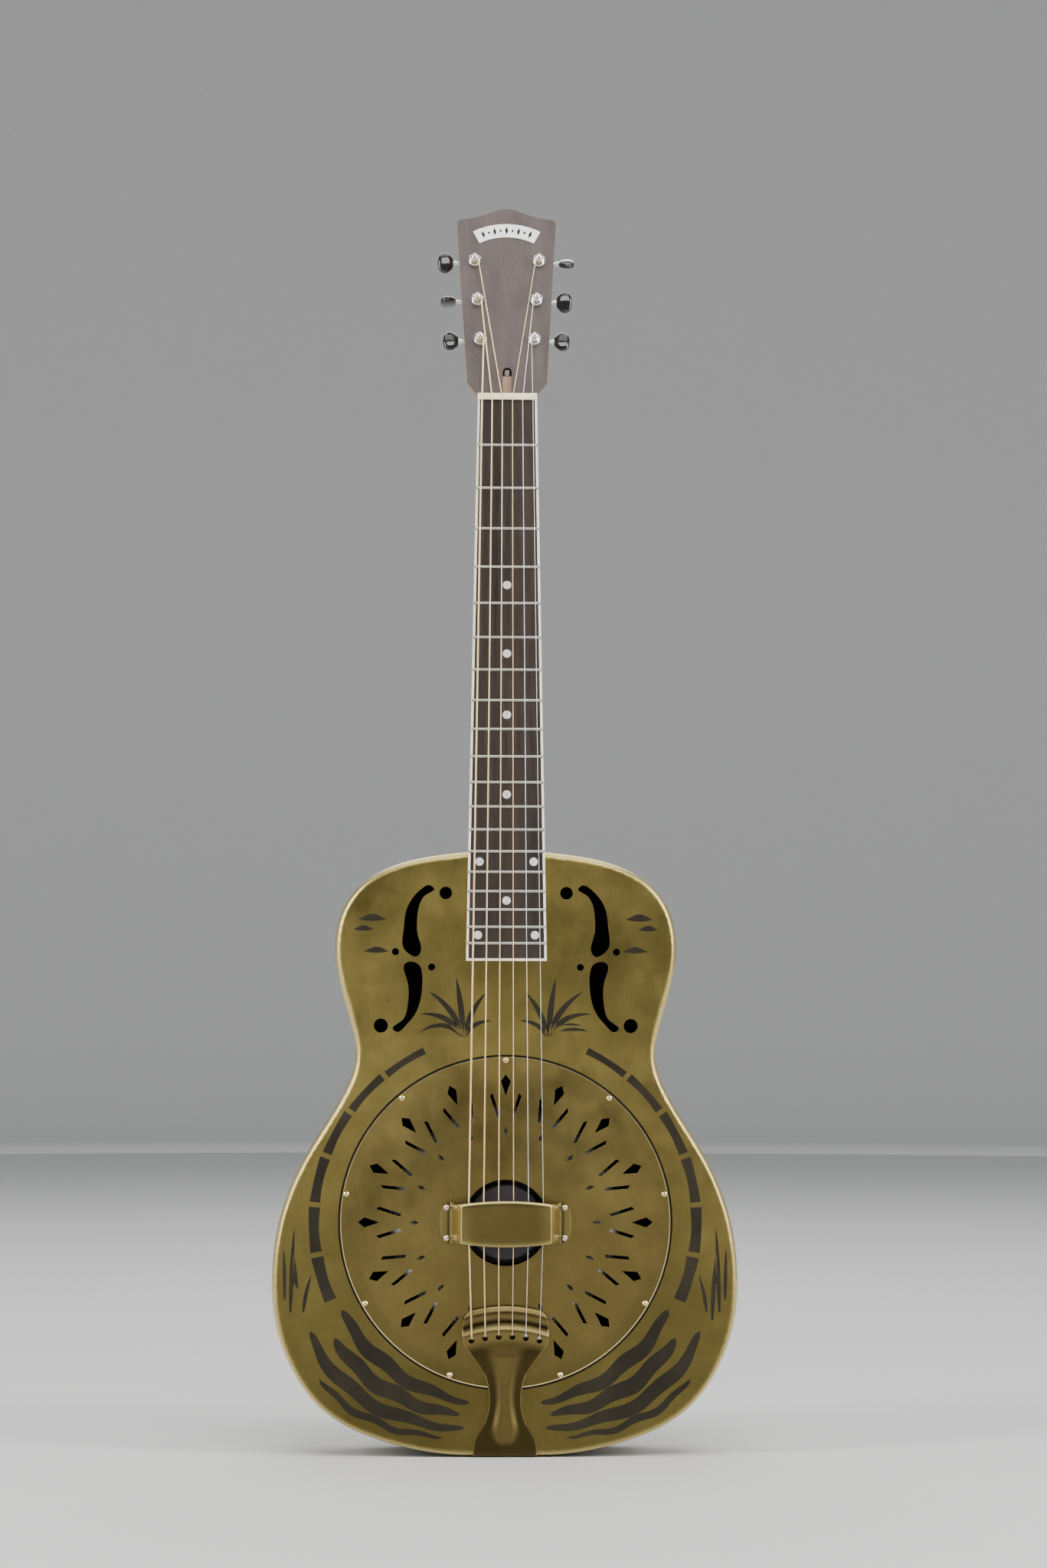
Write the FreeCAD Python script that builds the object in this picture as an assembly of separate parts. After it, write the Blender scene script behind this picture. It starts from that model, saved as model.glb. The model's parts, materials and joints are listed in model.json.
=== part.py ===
import FreeCAD, Part
import math
import os

# Resonator guitar with a single cone and a sheet-brass body, in millimetres.
# +Z runs up the neck, -Y is the front and +X is the treble side, on the right seen from the front.
# The origin is the centre of the flat underside of the tailpiece tab, the lowest point of the guitar.

V = FreeCAD.Vector
PARTS = "parts"

# ---- driving dimensions -------------------------------------------------------------------------
SCALE_LENGTH = 640.0
FRET_COUNT = 19
SHEET = 1.0                      # body sheet thickness
HALF_DEPTH = 41.0                # body depth is twice this
EDGE_RADIUS = 6.0                # rounded edge of the top and back pans
SEAM_Y = HALF_DEPTH - EDGE_RADIUS - 1.0
TAB = 1.2                        # tailpiece sheet thickness; the body stands on it
BODY_LENGTH = 470.0              # along the middle, from the tail edge
SHOULDER_R = 320.0                # gentle curve of the body's upper edge beside the neck
TAIL_HALF = 26.0                 # flat stretch of the body's lower edge
CENTRE_Z = TAB + 180.5           # axis of the cone and coverplate

PLATE_R = 128.3
RECESS_R = 130.0
RECESS_DEPTH = 1.4
LEDGE_INNER_R = 121.5
PLATE_SHEET = 1.2
PLATE_RISE = 6.0
PLATE_HOLE_R = 33.4
PLATE_FLAT_R = 119.0
PLATE_SCREWS = 9
PLATE_SCREW_PCD_R = 125.5
PIERCING_GROUPS = 16

WELL_FLOOR_Y = -13.0
WELL_INNER_R = 112.0
CONE_RIM_R = 120.0
CONE_SHEET = 0.6
CONE_TOP_Y = -35.0
BISCUIT_R = 30.0
BISCUIT_TOP_Y = -42.0
SADDLE_TOP_Y = -61.0

REST_LENGTH = 102.0
REST_TOP_Y = -68.0
REST_SHEET = 1.4                 # the front of the top stands at REST_TOP_Y

NUT_Z = TAB + 823.4              # nut's front edge, where the scale starts
BOARD_Y_AT_NUT = -42.0
NECK_LEAN = 1.21                 # degrees the neck leans back from the body
HEAD_TILT = 12.0                 # degrees the headstock tilts back from the board
BOARD = 6.0                      # fingerboard thickness
BOARD_LENGTH = 440.0
BOARD_HALF_AT_NUT = 23.25
BOARD_HALF_AT_12 = 29.15
BINDING = 1.8
NUT_THICKNESS = 5.5
NUT_RISE = 1.8
STRING_RISE_AT_NUT = 1.6
OVERLAY = 2.0
HEAD_WOOD = 13.5
HEAD_DROP = 4.2                  # headstock face below the board surface at the nut
CHEEK_HALF = 31.3                # where the headstock's lower chamfer meets its side
CHEEK_Z = 10.6
TRUSS_Y = BOARD + 6.0            # depth of the truss rod's axis below the board surface

# tuner unit, in the frame of its own post: x outwards, y into the headstock, z up the headstock
POST_R = 3.1
POST_BORE_R = 3.15
BUSH_R = 5.5
WORM_Z = 7.2                     # distance between the worm's and the gear's axes
WORM_Y = 22.0                    # depth of the worm's axis below the headstock face
SHAFT_R = 1.4
SHAFT_BORE_R = 1.45
GEAR_TEETH = 14
GEAR_PITCH_R = 4.7
GEAR_TIP_R = 5.2
GEAR_ROOT_R = 4.1
GEAR_WIDTH = 3.2
WORM_ROOT_R = 1.6
WORM_TIP_R = 2.7
HELIX_ANGLE = 8.6                # degrees of slant of the gear teeth
TUNER_PLATE = 1.2
LUG_X = 6.6
LUG = 1.5
BUTTON_START = 16.2
BUTTON_LENGTH = 12.9
POSTS = [(21.5, 51.3), (23.5, 84.9), (25.55, 118.3)]    # half spacing and height above the nut

# strings from the treble side to the bass side
GAUGES = [0.33, 0.43, 0.66, 0.89, 1.14, 1.42]
NUT_SPACING = 39.8
SADDLE_SPACING = 58.0
TAIL_SPACING = 52.5
HOOK_Z = TAB + 93.0
HOOK_Y = -54.0
HOOK_DROP = [3.0, 1.1, 0.0, 0.0, 1.1, 3.0]               # keyholes follow the tailpiece's arch


# ---- helpers --------------------------------------------------------------------------------------
def save(name, *solids):
    shape = solids[0] if len(solids) == 1 else Part.makeCompound(list(solids))
    shape.exportStep(os.path.join(PARTS, name + ".step"))
    volume = sum(s.Volume for s in shape.Solids)
    print("%-24s solids %2d  volume %10.1f  valid %s" % (name, len(shape.Solids), volume, shape.isValid()))


def spline(points, start=None, end=None, closed=False):
    curve = Part.BSplineCurve()
    if closed:
        curve.interpolate(points, PeriodicFlag=True)
    elif start:
        curve.interpolate(points, InitialTangent=start, FinalTangent=end)
    else:
        curve.interpolate(points)
    return curve.toShape()


def prism(wire, front, back):
    """Solid between two depths from a closed wire drawn in the plane y = 0."""
    face = Part.Face(wire)
    face.translate(V(0, front, 0))
    return face.extrude(V(0, back - front, 0))


def polygon(points):
    """Closed wire in the plane y = 0 from (x, z) pairs."""
    corners = [V(x, 0, z) for x, z in points]
    return Part.makePolygon(corners + corners[:1])


def rod(radius, start, end):
    start, end = V(*start), V(*end)
    return Part.makeCylinder(radius, (end - start).Length, start, end - start)


def box(low, high):
    return Part.makeBox(high[0] - low[0], high[1] - low[1], high[2] - low[2], V(*low))


def turned(profile, centre=(0, 0)):
    """Solid of revolution about the line x, z = centre, parallel to Y, from (radius, y) pairs."""
    points = [V(r, y, 0) for r, y in profile]
    face = Part.Face(Part.makePolygon(points + points[:1]))
    solid = face.revolve(V(0, 0, 0), V(0, 1, 0), 360)
    solid.translate(V(centre[0], 0, centre[1]))
    return solid


def mirror_x(shape):
    return shape.mirror(V(0, 0, 0), V(1, 0, 0))


def strip(points, thickness, half_width, samples=40):
    """Bent sheet that starts upright: its front follows a smooth line of (y, z) points, evenly across x."""
    front = Part.BSplineCurve()
    start = V(0, 0, 1)
    finish = V(0, points[-1][0] - points[-2][0], points[-1][1] - points[-2][1])
    front.interpolate([V(0, y, z) for y, z in points], InitialTangent=start, FinalTangent=finish)
    first, last = front.FirstParameter, front.LastParameter
    back = []
    for i in range(samples + 1):
        at = first + (last - first) * i / samples
        tangent = front.tangent(at)[0]
        back.append(front.value(at) + V(0, tangent.z, -tangent.y) * thickness)
    rear = Part.BSplineCurve()
    rear.interpolate(back)
    ends = [Part.makeLine(front.value(last), back[-1]), Part.makeLine(back[0], front.value(first))]
    face = Part.Face(Part.Wire([front.toShape(), ends[0], rear.toShape(), ends[1]]))
    face.translate(V(-half_width, 0, 0))
    return face.extrude(V(2 * half_width, 0, 0))


def neck_place():
    """Neck frame: origin on the board's surface at the nut, Z up the board, -Y out of it."""
    turn = FreeCAD.Rotation(V(1, 0, 0), -NECK_LEAN)
    return FreeCAD.Placement(V(0, BOARD_Y_AT_NUT, NUT_Z), turn)


def head_place():
    """Headstock frame: origin on the headstock's face behind the nut, Z up the headstock."""
    turn = FreeCAD.Rotation(V(1, 0, 0), -HEAD_TILT)
    local = FreeCAD.Placement(V(0, HEAD_DROP, NUT_THICKNESS), turn)
    return neck_place().multiply(local)


def placed(shape, placement):
    moved = shape.copy()
    moved.transformShape(placement.toMatrix())
    return moved


def fret_z(number):
    """Height of a fret in the neck frame: negative, below the nut."""
    return -SCALE_LENGTH * (1 - 2 ** (-number / 12.0))


def board_half(z):
    taper = (BOARD_HALF_AT_12 - BOARD_HALF_AT_NUT) / (SCALE_LENGTH / 2)
    return BOARD_HALF_AT_NUT - z * taper


# ---- body -----------------------------------------------------------------------------------------
def body_outline():
    """Closed outline of the body in the plane y = 0, from half widths at heights above the tail."""
    half = [(TAIL_HALF, 0.0), (92.8, 10.5), (139.8, 33.7), (166.5, 68.6), (178.5, 103.5),
            (181.1, 138.6), (174.6, 185.5), (154.8, 232.6), (126.3, 279.8), (117.2, 306.0),
            (120.4, 333.0), (131.4, 374.8), (133.1, 396.5), (127.2, 423.6), (112.8, 443.1)]
    half += [(x, BODY_LENGTH - x * x / (2 * SHOULDER_R)) for x in (84.0, 44.0)]
    loop = half + [(0.0, BODY_LENGTH)] + [(-x, z) for x, z in reversed(half)]
    edge = spline([V(x, 0, z + TAB) for x, z in loop], V(1, 0, 0), V(1, 0, 0))
    crown = (edge.FirstParameter + edge.LastParameter) / 2
    right = edge.Curve.toShape(edge.FirstParameter, crown)
    lower = Part.makeLine(V(-TAIL_HALF, 0, TAB), V(TAIL_HALF, 0, TAB))
    return Part.Wire([right, mirror_x(right), lower])


def rounded_slab(wire, face_y, seam_y, radius):
    """Slab from its seam to its face, with the face's edge rounded."""
    slab = prism(wire, min(face_y, seam_y), max(face_y, seam_y))
    rim = []
    for edge in slab.Edges:
        bounds = edge.BoundBox
        if abs(bounds.YMin - face_y) < 1e-4 and abs(bounds.YMax - face_y) < 1e-4:
            rim.append(edge)
    return slab.makeFillet(radius, rim)


def open_faces(solid, *depths):
    """Faces of a solid that lie flat at the given depths."""
    found = []
    for face in solid.Faces:
        bounds = face.BoundBox
        if any(abs(bounds.YMin - y) < 1e-4 and abs(bounds.YMax - y) < 1e-4 for y in depths):
            found.append(face)
    return found


def pan(outline, side):
    """Shallow sheet pan of the top (side -1) or the back (side 1)."""
    seam = side * SEAM_Y
    slab = rounded_slab(outline, side * HALF_DEPTH, seam, EDGE_RADIUS)
    return slab.Solids[0].makeThickness(open_faces(slab, seam), -SHEET, 1e-3)


def f_hole_cutters():
    """Openings on the left: two halves of an f and four round holes, through the top sheet."""
    upper = [(-56.3, 440.0), (-60.5, 442.4), (-66.5, 439.2), (-73.6, 431.5), (-78.4, 421.0),
             (-79.9, 408.0), (-80.0, 393.5), (-75.5, 388.6), (-69.5, 386.8), (-66.6, 390.2),
             (-68.4, 402.0), (-69.3, 416.5), (-67.6, 426.8), (-62.8, 434.6), (-57.8, 437.4)]
    lower = [(-77.9, 381.8), (-73.8, 382.8), (-67.4, 379.8), (-65.6, 375.0), (-65.2, 363.0),
             (-67.0, 351.0), (-71.4, 340.8), (-78.2, 332.8), (-85.4, 328.2), (-88.0, 330.3),
             (-81.8, 336.2), (-77.2, 344.6), (-75.9, 355.6), (-77.2, 368.5)]
    rounds = [(-47.1, 436.3, 4.9), (-97.3, 332.9, 5.5), (-86.2, 390.4, 2.75), (-58.0, 378.5, 2.75)]
    cutters = []
    for outline in (upper, lower):
        wire = Part.Wire(spline([V(x, 0, z + TAB) for x, z in outline], closed=True))
        cutters.append(prism(wire, -HALF_DEPTH - 2, -HALF_DEPTH + 3))
    for x, z, radius in rounds:
        cutters.append(rod(radius, (x, -HALF_DEPTH - 2, z + TAB), (x, -HALF_DEPTH + 3, z + TAB)))
    return cutters


def plate_screw_spots():
    spots = []
    for i in range(PLATE_SCREWS):
        angle = math.radians(90 + 360.0 * i / PLATE_SCREWS)
        x = PLATE_SCREW_PCD_R * math.cos(angle)
        z = CENTRE_Z + PLATE_SCREW_PCD_R * math.sin(angle)
        spots.append((x, z))
    return spots


def make_body():
    outline = body_outline()
    ledge_y = -HALF_DEPTH + RECESS_DEPTH

    top = pan(outline, -1)
    well_axis = ((0, -HALF_DEPTH - 2, CENTRE_Z), (0, -HALF_DEPTH + 4, CENTRE_Z))
    top = top.cut(rod(RECESS_R, *well_axis))
    ledge = turned([(RECESS_R + SHEET, -HALF_DEPTH), (RECESS_R, -HALF_DEPTH), (RECESS_R, ledge_y),
                    (LEDGE_INNER_R, ledge_y), (LEDGE_INNER_R, ledge_y + SHEET),
                    (RECESS_R + SHEET, ledge_y + SHEET)], (0, CENTRE_Z))
    top = top.fuse(ledge)
    openings = f_hole_cutters()
    openings += [mirror_x(c) for c in openings]
    openings += [rod(1.2, (x, ledge_y - 1, z), (x, ledge_y + 3, z)) for x, z in plate_screw_spots()]
    top = top.cut(Part.makeCompound(openings)).removeSplitter()
    save("body_top", top.Solids[0])

    wall = prism(outline, -SEAM_Y, SEAM_Y)
    sides = wall.makeThickness(open_faces(wall, -SEAM_Y, SEAM_Y), -SHEET, 1e-3)
    stick_slot = box((-13.2, -10.2, BODY_LENGTH - 5), (13.2, 24.2, BODY_LENGTH + 5))
    sides = sides.cut(stick_slot)
    for x in (-16, 0, 16):
        sides = sides.cut(rod(1.8, (x, 4, -1), (x, 4, 4)))
    save("body_sides", sides.Solids[0])
    save("body_back", pan(outline, 1).Solids[0])


def make_soundwell():
    """Ring wall under the coverplate with a ledge for the cone and round ports in the wall."""
    top_y = -HALF_DEPTH + RECESS_DEPTH + SHEET
    well = turned([(LEDGE_INNER_R, top_y), (LEDGE_INNER_R + 1, top_y), (LEDGE_INNER_R + 1, WELL_FLOOR_Y + 1),
                   (WELL_INNER_R, WELL_FLOOR_Y + 1), (WELL_INNER_R, WELL_FLOOR_Y),
                   (LEDGE_INNER_R, WELL_FLOOR_Y)], (0, CENTRE_Z))
    ports = 12
    for i in range(ports):
        angle = math.radians(360.0 * (i + 0.5) / ports)
        reach = V(math.cos(angle), 0, math.sin(angle))
        start = V(0, -25.5, CENTRE_Z) + reach * 110
        well = well.cut(Part.makeCylinder(8, 20, start, reach))
    save("soundwell", well.Solids[0])


def make_neck_stick():
    end_z = TAB + SHEET
    stick = box((-13, -10, end_z), (13, 24, BODY_LENGTH + TAB))
    for x in (-16, 0, 16):
        stick = stick.cut(rod(1.8, (x, 4, end_z - 1), (x, 4, end_z + 14)))
    tail_block = box((-24, -10, end_z), (24, 24, end_z + 18))
    stick = stick.fuse(tail_block)
    for x in (-16, 0, 16):
        stick = stick.cut(rod(1.8, (x, 4, end_z - 1), (x, 4, end_z + 14)))
    stick = stick.removeSplitter().common(prism(body_outline(), -60, 60))
    save("neck_stick", stick.Solids[0])
    pads = [box((-13, 24, z - 12), (13, HALF_DEPTH - SHEET, z + 12)) for z in (60, 200, 340)]
    save("stick_pads", *pads)


# ---- resonator ------------------------------------------------------------------------------------
def make_cone():
    """Thin spun cone: flat rim on the ledge, a rising wall that flattens towards the centre."""
    t = CONE_SHEET
    line = [(CONE_RIM_R, WELL_FLOOR_Y - t), (116.5, WELL_FLOOR_Y - t), (114.5, -15.5), (100, -20.5),
            (84, -25.5), (68, -29.6), (50, -32.8), (34, CONE_TOP_Y)]
    under = [(r, y + t) for r, y in line]
    bore = 2.1
    profile = line + [(bore, CONE_TOP_Y), (bore, CONE_TOP_Y + t)] + list(reversed(under))
    save("resonator_cone", turned(profile, (0, CENTRE_Z)))

    biscuit = turned([(2.1, CONE_TOP_Y), (BISCUIT_R, CONE_TOP_Y), (BISCUIT_R, BISCUIT_TOP_Y + 1.5),
                      (BISCUIT_R - 1.5, BISCUIT_TOP_Y), (2.1, BISCUIT_TOP_Y)], (0, CENTRE_Z))
    slot_floor = BISCUIT_TOP_Y + 3
    saddle_half = 31.5
    slot = box((-saddle_half - 1, BISCUIT_TOP_Y - 1, CENTRE_Z - 1.6),
               (saddle_half + 1, slot_floor, CENTRE_Z + 1.6))
    save("biscuit", biscuit.cut(slot).Solids[0])

    base_half = math.sqrt(BISCUIT_R ** 2 - 1.6 ** 2) - 0.1
    side = Part.makePolygon([V(-base_half, slot_floor, 0), V(base_half, slot_floor, 0),
                             V(base_half, BISCUIT_TOP_Y - 3, 0), V(saddle_half, BISCUIT_TOP_Y - 6, 0),
                             V(saddle_half, SADDLE_TOP_Y + 2, 0), V(0, SADDLE_TOP_Y, 0),
                             V(-saddle_half, SADDLE_TOP_Y + 2, 0), V(-saddle_half, BISCUIT_TOP_Y - 6, 0),
                             V(-base_half, BISCUIT_TOP_Y - 3, 0), V(-base_half, slot_floor, 0)])
    saddle = Part.Face(side)
    saddle.translate(V(0, 0, CENTRE_Z - 1.6))
    saddle = saddle.extrude(V(0, 0, 3.2))
    saddle = saddle.cut(rod(1.5, (0, slot_floor + 1, CENTRE_Z), (0, slot_floor - 6, CENTRE_Z)))
    for string in string_paths():
        touch = string["saddle"]
        radius = string["radius"]
        ends = ((touch.x, touch.y, CENTRE_Z - 4), (touch.x, touch.y, CENTRE_Z + 4))
        saddle = saddle.cut(rod(radius, *ends))
        saddle = saddle.cut(box((touch.x - radius, touch.y - 6, CENTRE_Z - 4),
                                (touch.x + radius, touch.y, CENTRE_Z + 4)))
    save("biscuit_saddle", saddle.Solids[0])
    screw = turned([(0, CONE_TOP_Y + t + 1.6), (3.2, CONE_TOP_Y + t + 1.0), (3.2, CONE_TOP_Y + t),
                    (2.0, CONE_TOP_Y + t), (2.0, slot_floor), (1.5, slot_floor), (1.5, slot_floor - 5),
                    (0, slot_floor - 5)], (0, CENTRE_Z))
    save("biscuit_screw", screw)


def dome_y(radius):
    """Front surface of the coverplate at a distance from its centre."""
    share = (PLATE_FLAT_R - radius) / (PLATE_FLAT_R - PLATE_HOLE_R)
    rim = -HALF_DEPTH + RECESS_DEPTH - PLATE_SHEET
    return rim - PLATE_RISE * math.sin(max(0.0, min(1.0, share)) * math.pi / 2)


def piercing_group():
    """One of the coverplate's repeated groups, along +X from the centre: kite, two slots, diamond."""
    kite = [(114.5, 0), (109.5, 3.9), (98.0, 0), (109.5, -3.9)]
    slot = [(98.0, 12.2), (100.3, 10.3), (82.6, 4.7), (80.3, 6.6)]
    other = [(x, -z) for x, z in slot]
    diamond = [(74.6, 0), (71.0, 1.6), (66.8, 0), (71.0, -1.6)]
    return [prism(polygon(p), -60, -30) for p in (kite, slot, other, diamond)]


def make_coverplate():
    rim_front = dome_y(PLATE_R)
    dome = Part.BSplineCurve()
    steps = 7
    radii = [PLATE_FLAT_R + (PLATE_HOLE_R - PLATE_FLAT_R) * i / steps for i in range(steps + 1)]
    dome.interpolate([V(r, dome_y(r), 0) for r in radii])
    under = Part.BSplineCurve()
    under.interpolate([V(r, dome_y(r) + PLATE_SHEET, 0) for r in reversed(radii)])
    bevel = 0.4
    edge = [V(PLATE_HOLE_R, dome_y(PLATE_HOLE_R) + PLATE_SHEET, 0), V(PLATE_FLAT_R, rim_front + PLATE_SHEET, 0),
            V(PLATE_R, rim_front + PLATE_SHEET, 0), V(PLATE_R, rim_front + bevel, 0),
            V(PLATE_R - bevel, rim_front, 0), V(PLATE_FLAT_R, rim_front, 0)]
    lines = [Part.makeLine(V(PLATE_HOLE_R, dome_y(PLATE_HOLE_R), 0), edge[0])]
    lines.append(under.toShape())
    lines += [Part.makeLine(edge[i], edge[i + 1]) for i in range(1, len(edge) - 1)]
    lines.append(dome.toShape())
    section = Part.Face(Part.Wire(Part.__sortEdges__(lines)))
    plate = section.revolve(V(0, 0, 0), V(0, 1, 0), 360)
    cutters = []
    for i in range(PIERCING_GROUPS):
        for cutter in piercing_group():
            cutter.rotate(V(0, 0, 0), V(0, 1, 0), 360.0 * i / PIERCING_GROUPS)
            cutters.append(cutter)
    for x, z in plate_screw_spots():
        cutters.append(rod(1.4, (x, -60, z - CENTRE_Z), (x, -30, z - CENTRE_Z)))
    for x, z in rest_screw_spots():
        cutters.append(rod(1.4, (x, -60, z - CENTRE_Z), (x, -30, z - CENTRE_Z)))
    plate = plate.cut(Part.makeCompound(cutters))
    plate.translate(V(0, 0, CENTRE_Z))
    save("coverplate", plate.Solids[0])

    screws = []
    seat = rim_front
    for x, z in plate_screw_spots():
        head = turned([(0, seat - 1.5), (1.1, seat - 1.35), (1.9, seat - 0.8), (2.3, seat), (1.2, seat),
                       (1.2, seat + 6), (0, seat + 6)], (x, z))
        screws.append(head.cut(box((x - 3, seat - 2, z - 0.3), (x + 3, seat - 0.8, z + 0.3))))
    save("coverplate_screws", *screws)


def rest_screw_spots():
    return [(sx * 45.8, CENTRE_Z + sz * 11.7) for sx in (-1, 1) for sz in (-1, 1)]


def offset_line(points, distance):
    """Points of a polyline moved sideways by a distance, with mitred corners."""
    moved = []
    for i, point in enumerate(points):
        ahead = points[min(i + 1, len(points) - 1)]
        behind = points[max(i - 1, 0)]
        into = (point - behind).normalize() if i > 0 else (ahead - point).normalize()
        out = (ahead - point).normalize() if i < len(points) - 1 else into
        normal = V(-into.y, into.x, 0) + V(-out.y, out.x, 0)
        normal.normalize()
        moved.append(point + normal * (distance / (normal * V(-into.y, into.x, 0))))
    return moved


def make_handrest():
    """Bent cover over the saddle: flat ears, sloping legs and a flat top with barrel-shaped edges."""
    ear_y = dome_y(40.0) - REST_SHEET - 0.05
    half = REST_LENGTH / 2
    front = [V(half, ear_y, 0), V(42.0, ear_y, 0), V(35.6, REST_TOP_Y, 0),
             V(-35.6, REST_TOP_Y, 0), V(-42.0, ear_y, 0), V(-half, ear_y, 0)]
    back = offset_line(front, -REST_SHEET)
    section = Part.Face(Part.makePolygon(front + back[::-1] + front[:1]))
    section.translate(V(0, 0, CENTRE_Z - 24))
    sheet = section.extrude(V(0, 0, 48))
    inner_bends = (front[1], back[2], back[3], front[4])
    outer_bends = (back[1], front[2], front[3], back[4])
    for points, radius in ((inner_bends, 1.6), (outer_bends, 2.0)):
        bends = [e for e in sheet.Edges if abs(e.Length - 48) < 1e-6 and
                 any(math.hypot(e.CenterOfMass.x - p.x, e.CenterOfMass.y - p.y) < 1e-3 for p in points)]
        sheet = sheet.makeFillet(radius, bends)
    corner = 40.6
    waist = 14.4
    ear = 16.0
    sides = []
    for side in (1, -1):
        barrel = spline([V(-side * corner, 0, side * waist), V(0, 0, side * 17.85),
                         V(side * corner, 0, side * waist)])
        step = Part.makeLine(V(side * corner, 0, side * waist), V(side * (corner + 0.6), 0, side * ear))
        shoulder = spline([V(side * (corner + 0.6), 0, side * ear), V(side * 48.6, 0, side * 14.2),
                           V(side * half, 0, 0)], V(side * 1.0, 0, 0), V(0, 0, -side))
        lower = spline([V(side * half, 0, 0), V(side * 48.6, 0, -side * 14.2),
                        V(side * (corner + 0.6), 0, -side * ear)], V(0, 0, -side), V(-side * 1.0, 0, 0))
        back = Part.makeLine(V(side * (corner + 0.6), 0, -side * ear), V(side * corner, 0, -side * waist))
        sides += [barrel, step, shoulder, lower, back]
    outline = Part.Wire(Part.__sortEdges__(sides))
    cutter = prism(outline, -80, -40)
    cutter.translate(V(0, 0, CENTRE_Z))
    rest = sheet.common(cutter)
    for x, z in rest_screw_spots():
        rest = rest.cut(rod(1.4, (x, -60, z), (x, -30, z)))
    save("handrest", rest.Solids[0])

    screws = []
    seat = ear_y
    for x, z in rest_screw_spots():
        screw = turned([(0, seat - 1.7), (1.2, seat - 1.5), (2.0, seat - 0.9), (2.3, seat), (1.4, seat),
                        (1.4, seat + 5), (0, seat + 5)], (x, z))
        for long, wide in ((1.3, 0.3), (0.3, 1.3)):
            screw = screw.cut(box((x - long, seat - 2, z - wide), (x + long, seat - 0.9, z + wide)))
        screws.append(screw)
    save("handrest_screws", *screws)


def tail_sheet():
    """Bent sheet of the tailpiece: tab under the tail, round the edge, up the face, two waves and lip."""
    face_y = -HALF_DEPTH - TAB
    bend = EDGE_RADIUS + TAB
    line = [(face_y, bend), (face_y - 0.2, 16.0), (-43.4, 40.0), (-45.6, 62.0), (-48.0, 78.0), (-49.6, 87.0),
            (-51.4, 93.6), (-52.4, 98.6), (-50.6, 102.4), (-48.8, 105.2), (-50.4, 108.2), (-52.3, 111.0),
            (-52.3, 113.6), (-50.2, 117.4)]
    tab = box((-40, bend - HALF_DEPTH - TAB, 0), (40, 14, TAB))
    outer = rod(bend, (-40, bend + face_y, bend), (40, bend + face_y, bend))
    inner = rod(EDGE_RADIUS + 0.02, (-41, bend + face_y, bend), (41, bend + face_y, bend))
    corner = outer.cut(inner).common(box((-40, face_y, 0), (40, bend + face_y, bend)))
    return tab.fuse([corner, strip(line, TAB, 40, samples=110)]).removeSplitter()


def keyhole_cutters():
    cutters = []
    for path, drop in zip(string_paths(), HOOK_DROP):
        x = path["hook"].x
        z = HOOK_Z - drop
        cutters.append(rod(2.25, (x, -70, z), (x, -43, z)))
        cutters.append(box((x - 1.0, -70, z), (x + 1.0, -43, z + 5.2)))
    return cutters


def make_tailpiece():
    sheet = tail_sheet()
    half = [(24.8, -2.0), (24.8, 5.0), (22.7, 15.0), (17.3, 24.3), (13.4, 35.2), (12.5, 45.0),
            (13.9, 57.6), (17.5, 66.2), (22.2, 73.9), (28.0, 82.0)]
    wing = [(32.2, 87.6), (33.3, 92.0), (33.3, 104.0), (30.4, 111.0), (24.0, 114.8)]
    right = spline([V(x, 0, z) for x, z in half])
    step = Part.makeLine(V(28.0, 0, 82.0), V(32.2, 0, 87.6))
    shoulder = spline([V(x, 0, z) for x, z in wing])
    crown = spline([V(24.0, 0, 114.8), V(0, 0, 118.0), V(-24.0, 0, 114.8)])
    left = [mirror_x(e) for e in (right, step, shoulder)]
    base = Part.makeLine(V(-24.8, 0, -2.0), V(24.8, 0, -2.0))
    outline = Part.Wire(Part.__sortEdges__([right, step, shoulder, crown, base] + left))
    piece = sheet.common(prism(outline, -70, 30))
    piece = piece.cut(Part.makeCompound(keyhole_cutters()))
    for x in (-16, 0, 16):
        countersink = Part.makeCone(3.4, 1.8, 1.3, V(x, 4, -0.1), V(0, 0, 1))
        piece = piece.cut([countersink, rod(1.8, (x, 4, -1), (x, 4, TAB + 1))])
    save("tailpiece", max(piece.Solids, key=lambda s: s.Volume))

    screws = []
    for x in (-16, 0, 16):
        head = Part.makeCone(3.05, 1.75, 1.1, V(x, 4, 0.1), V(0, 0, 1))
        shank = rod(1.75, (x, 4, 1.2), (x, 4, 15))
        screw = head.fuse(shank)
        screws.append(screw.cut(box((x - 4, 3.6, -1), (x + 4, 4.4, 0.6))).removeSplitter())
    save("tailpiece_screws", *screws)


# ---- neck -----------------------------------------------------------------------------------------
def neck_section(z, half, depth):
    """D-shaped section of the neck: flat under the board, round behind."""
    top = BOARD
    back = spline([V(half, top, z), V(0.93 * half, top + 0.48 * depth, z), V(0.6 * half, top + 0.84 * depth, z),
                   V(0, top + depth, z), V(-0.6 * half, top + 0.84 * depth, z),
                   V(-0.93 * half, top + 0.48 * depth, z), V(-half, top, z)], V(0, 1, 0), V(0, -1, 0))
    return Part.Wire([back, Part.makeLine(V(-half, top, z), V(half, top, z))])


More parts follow.
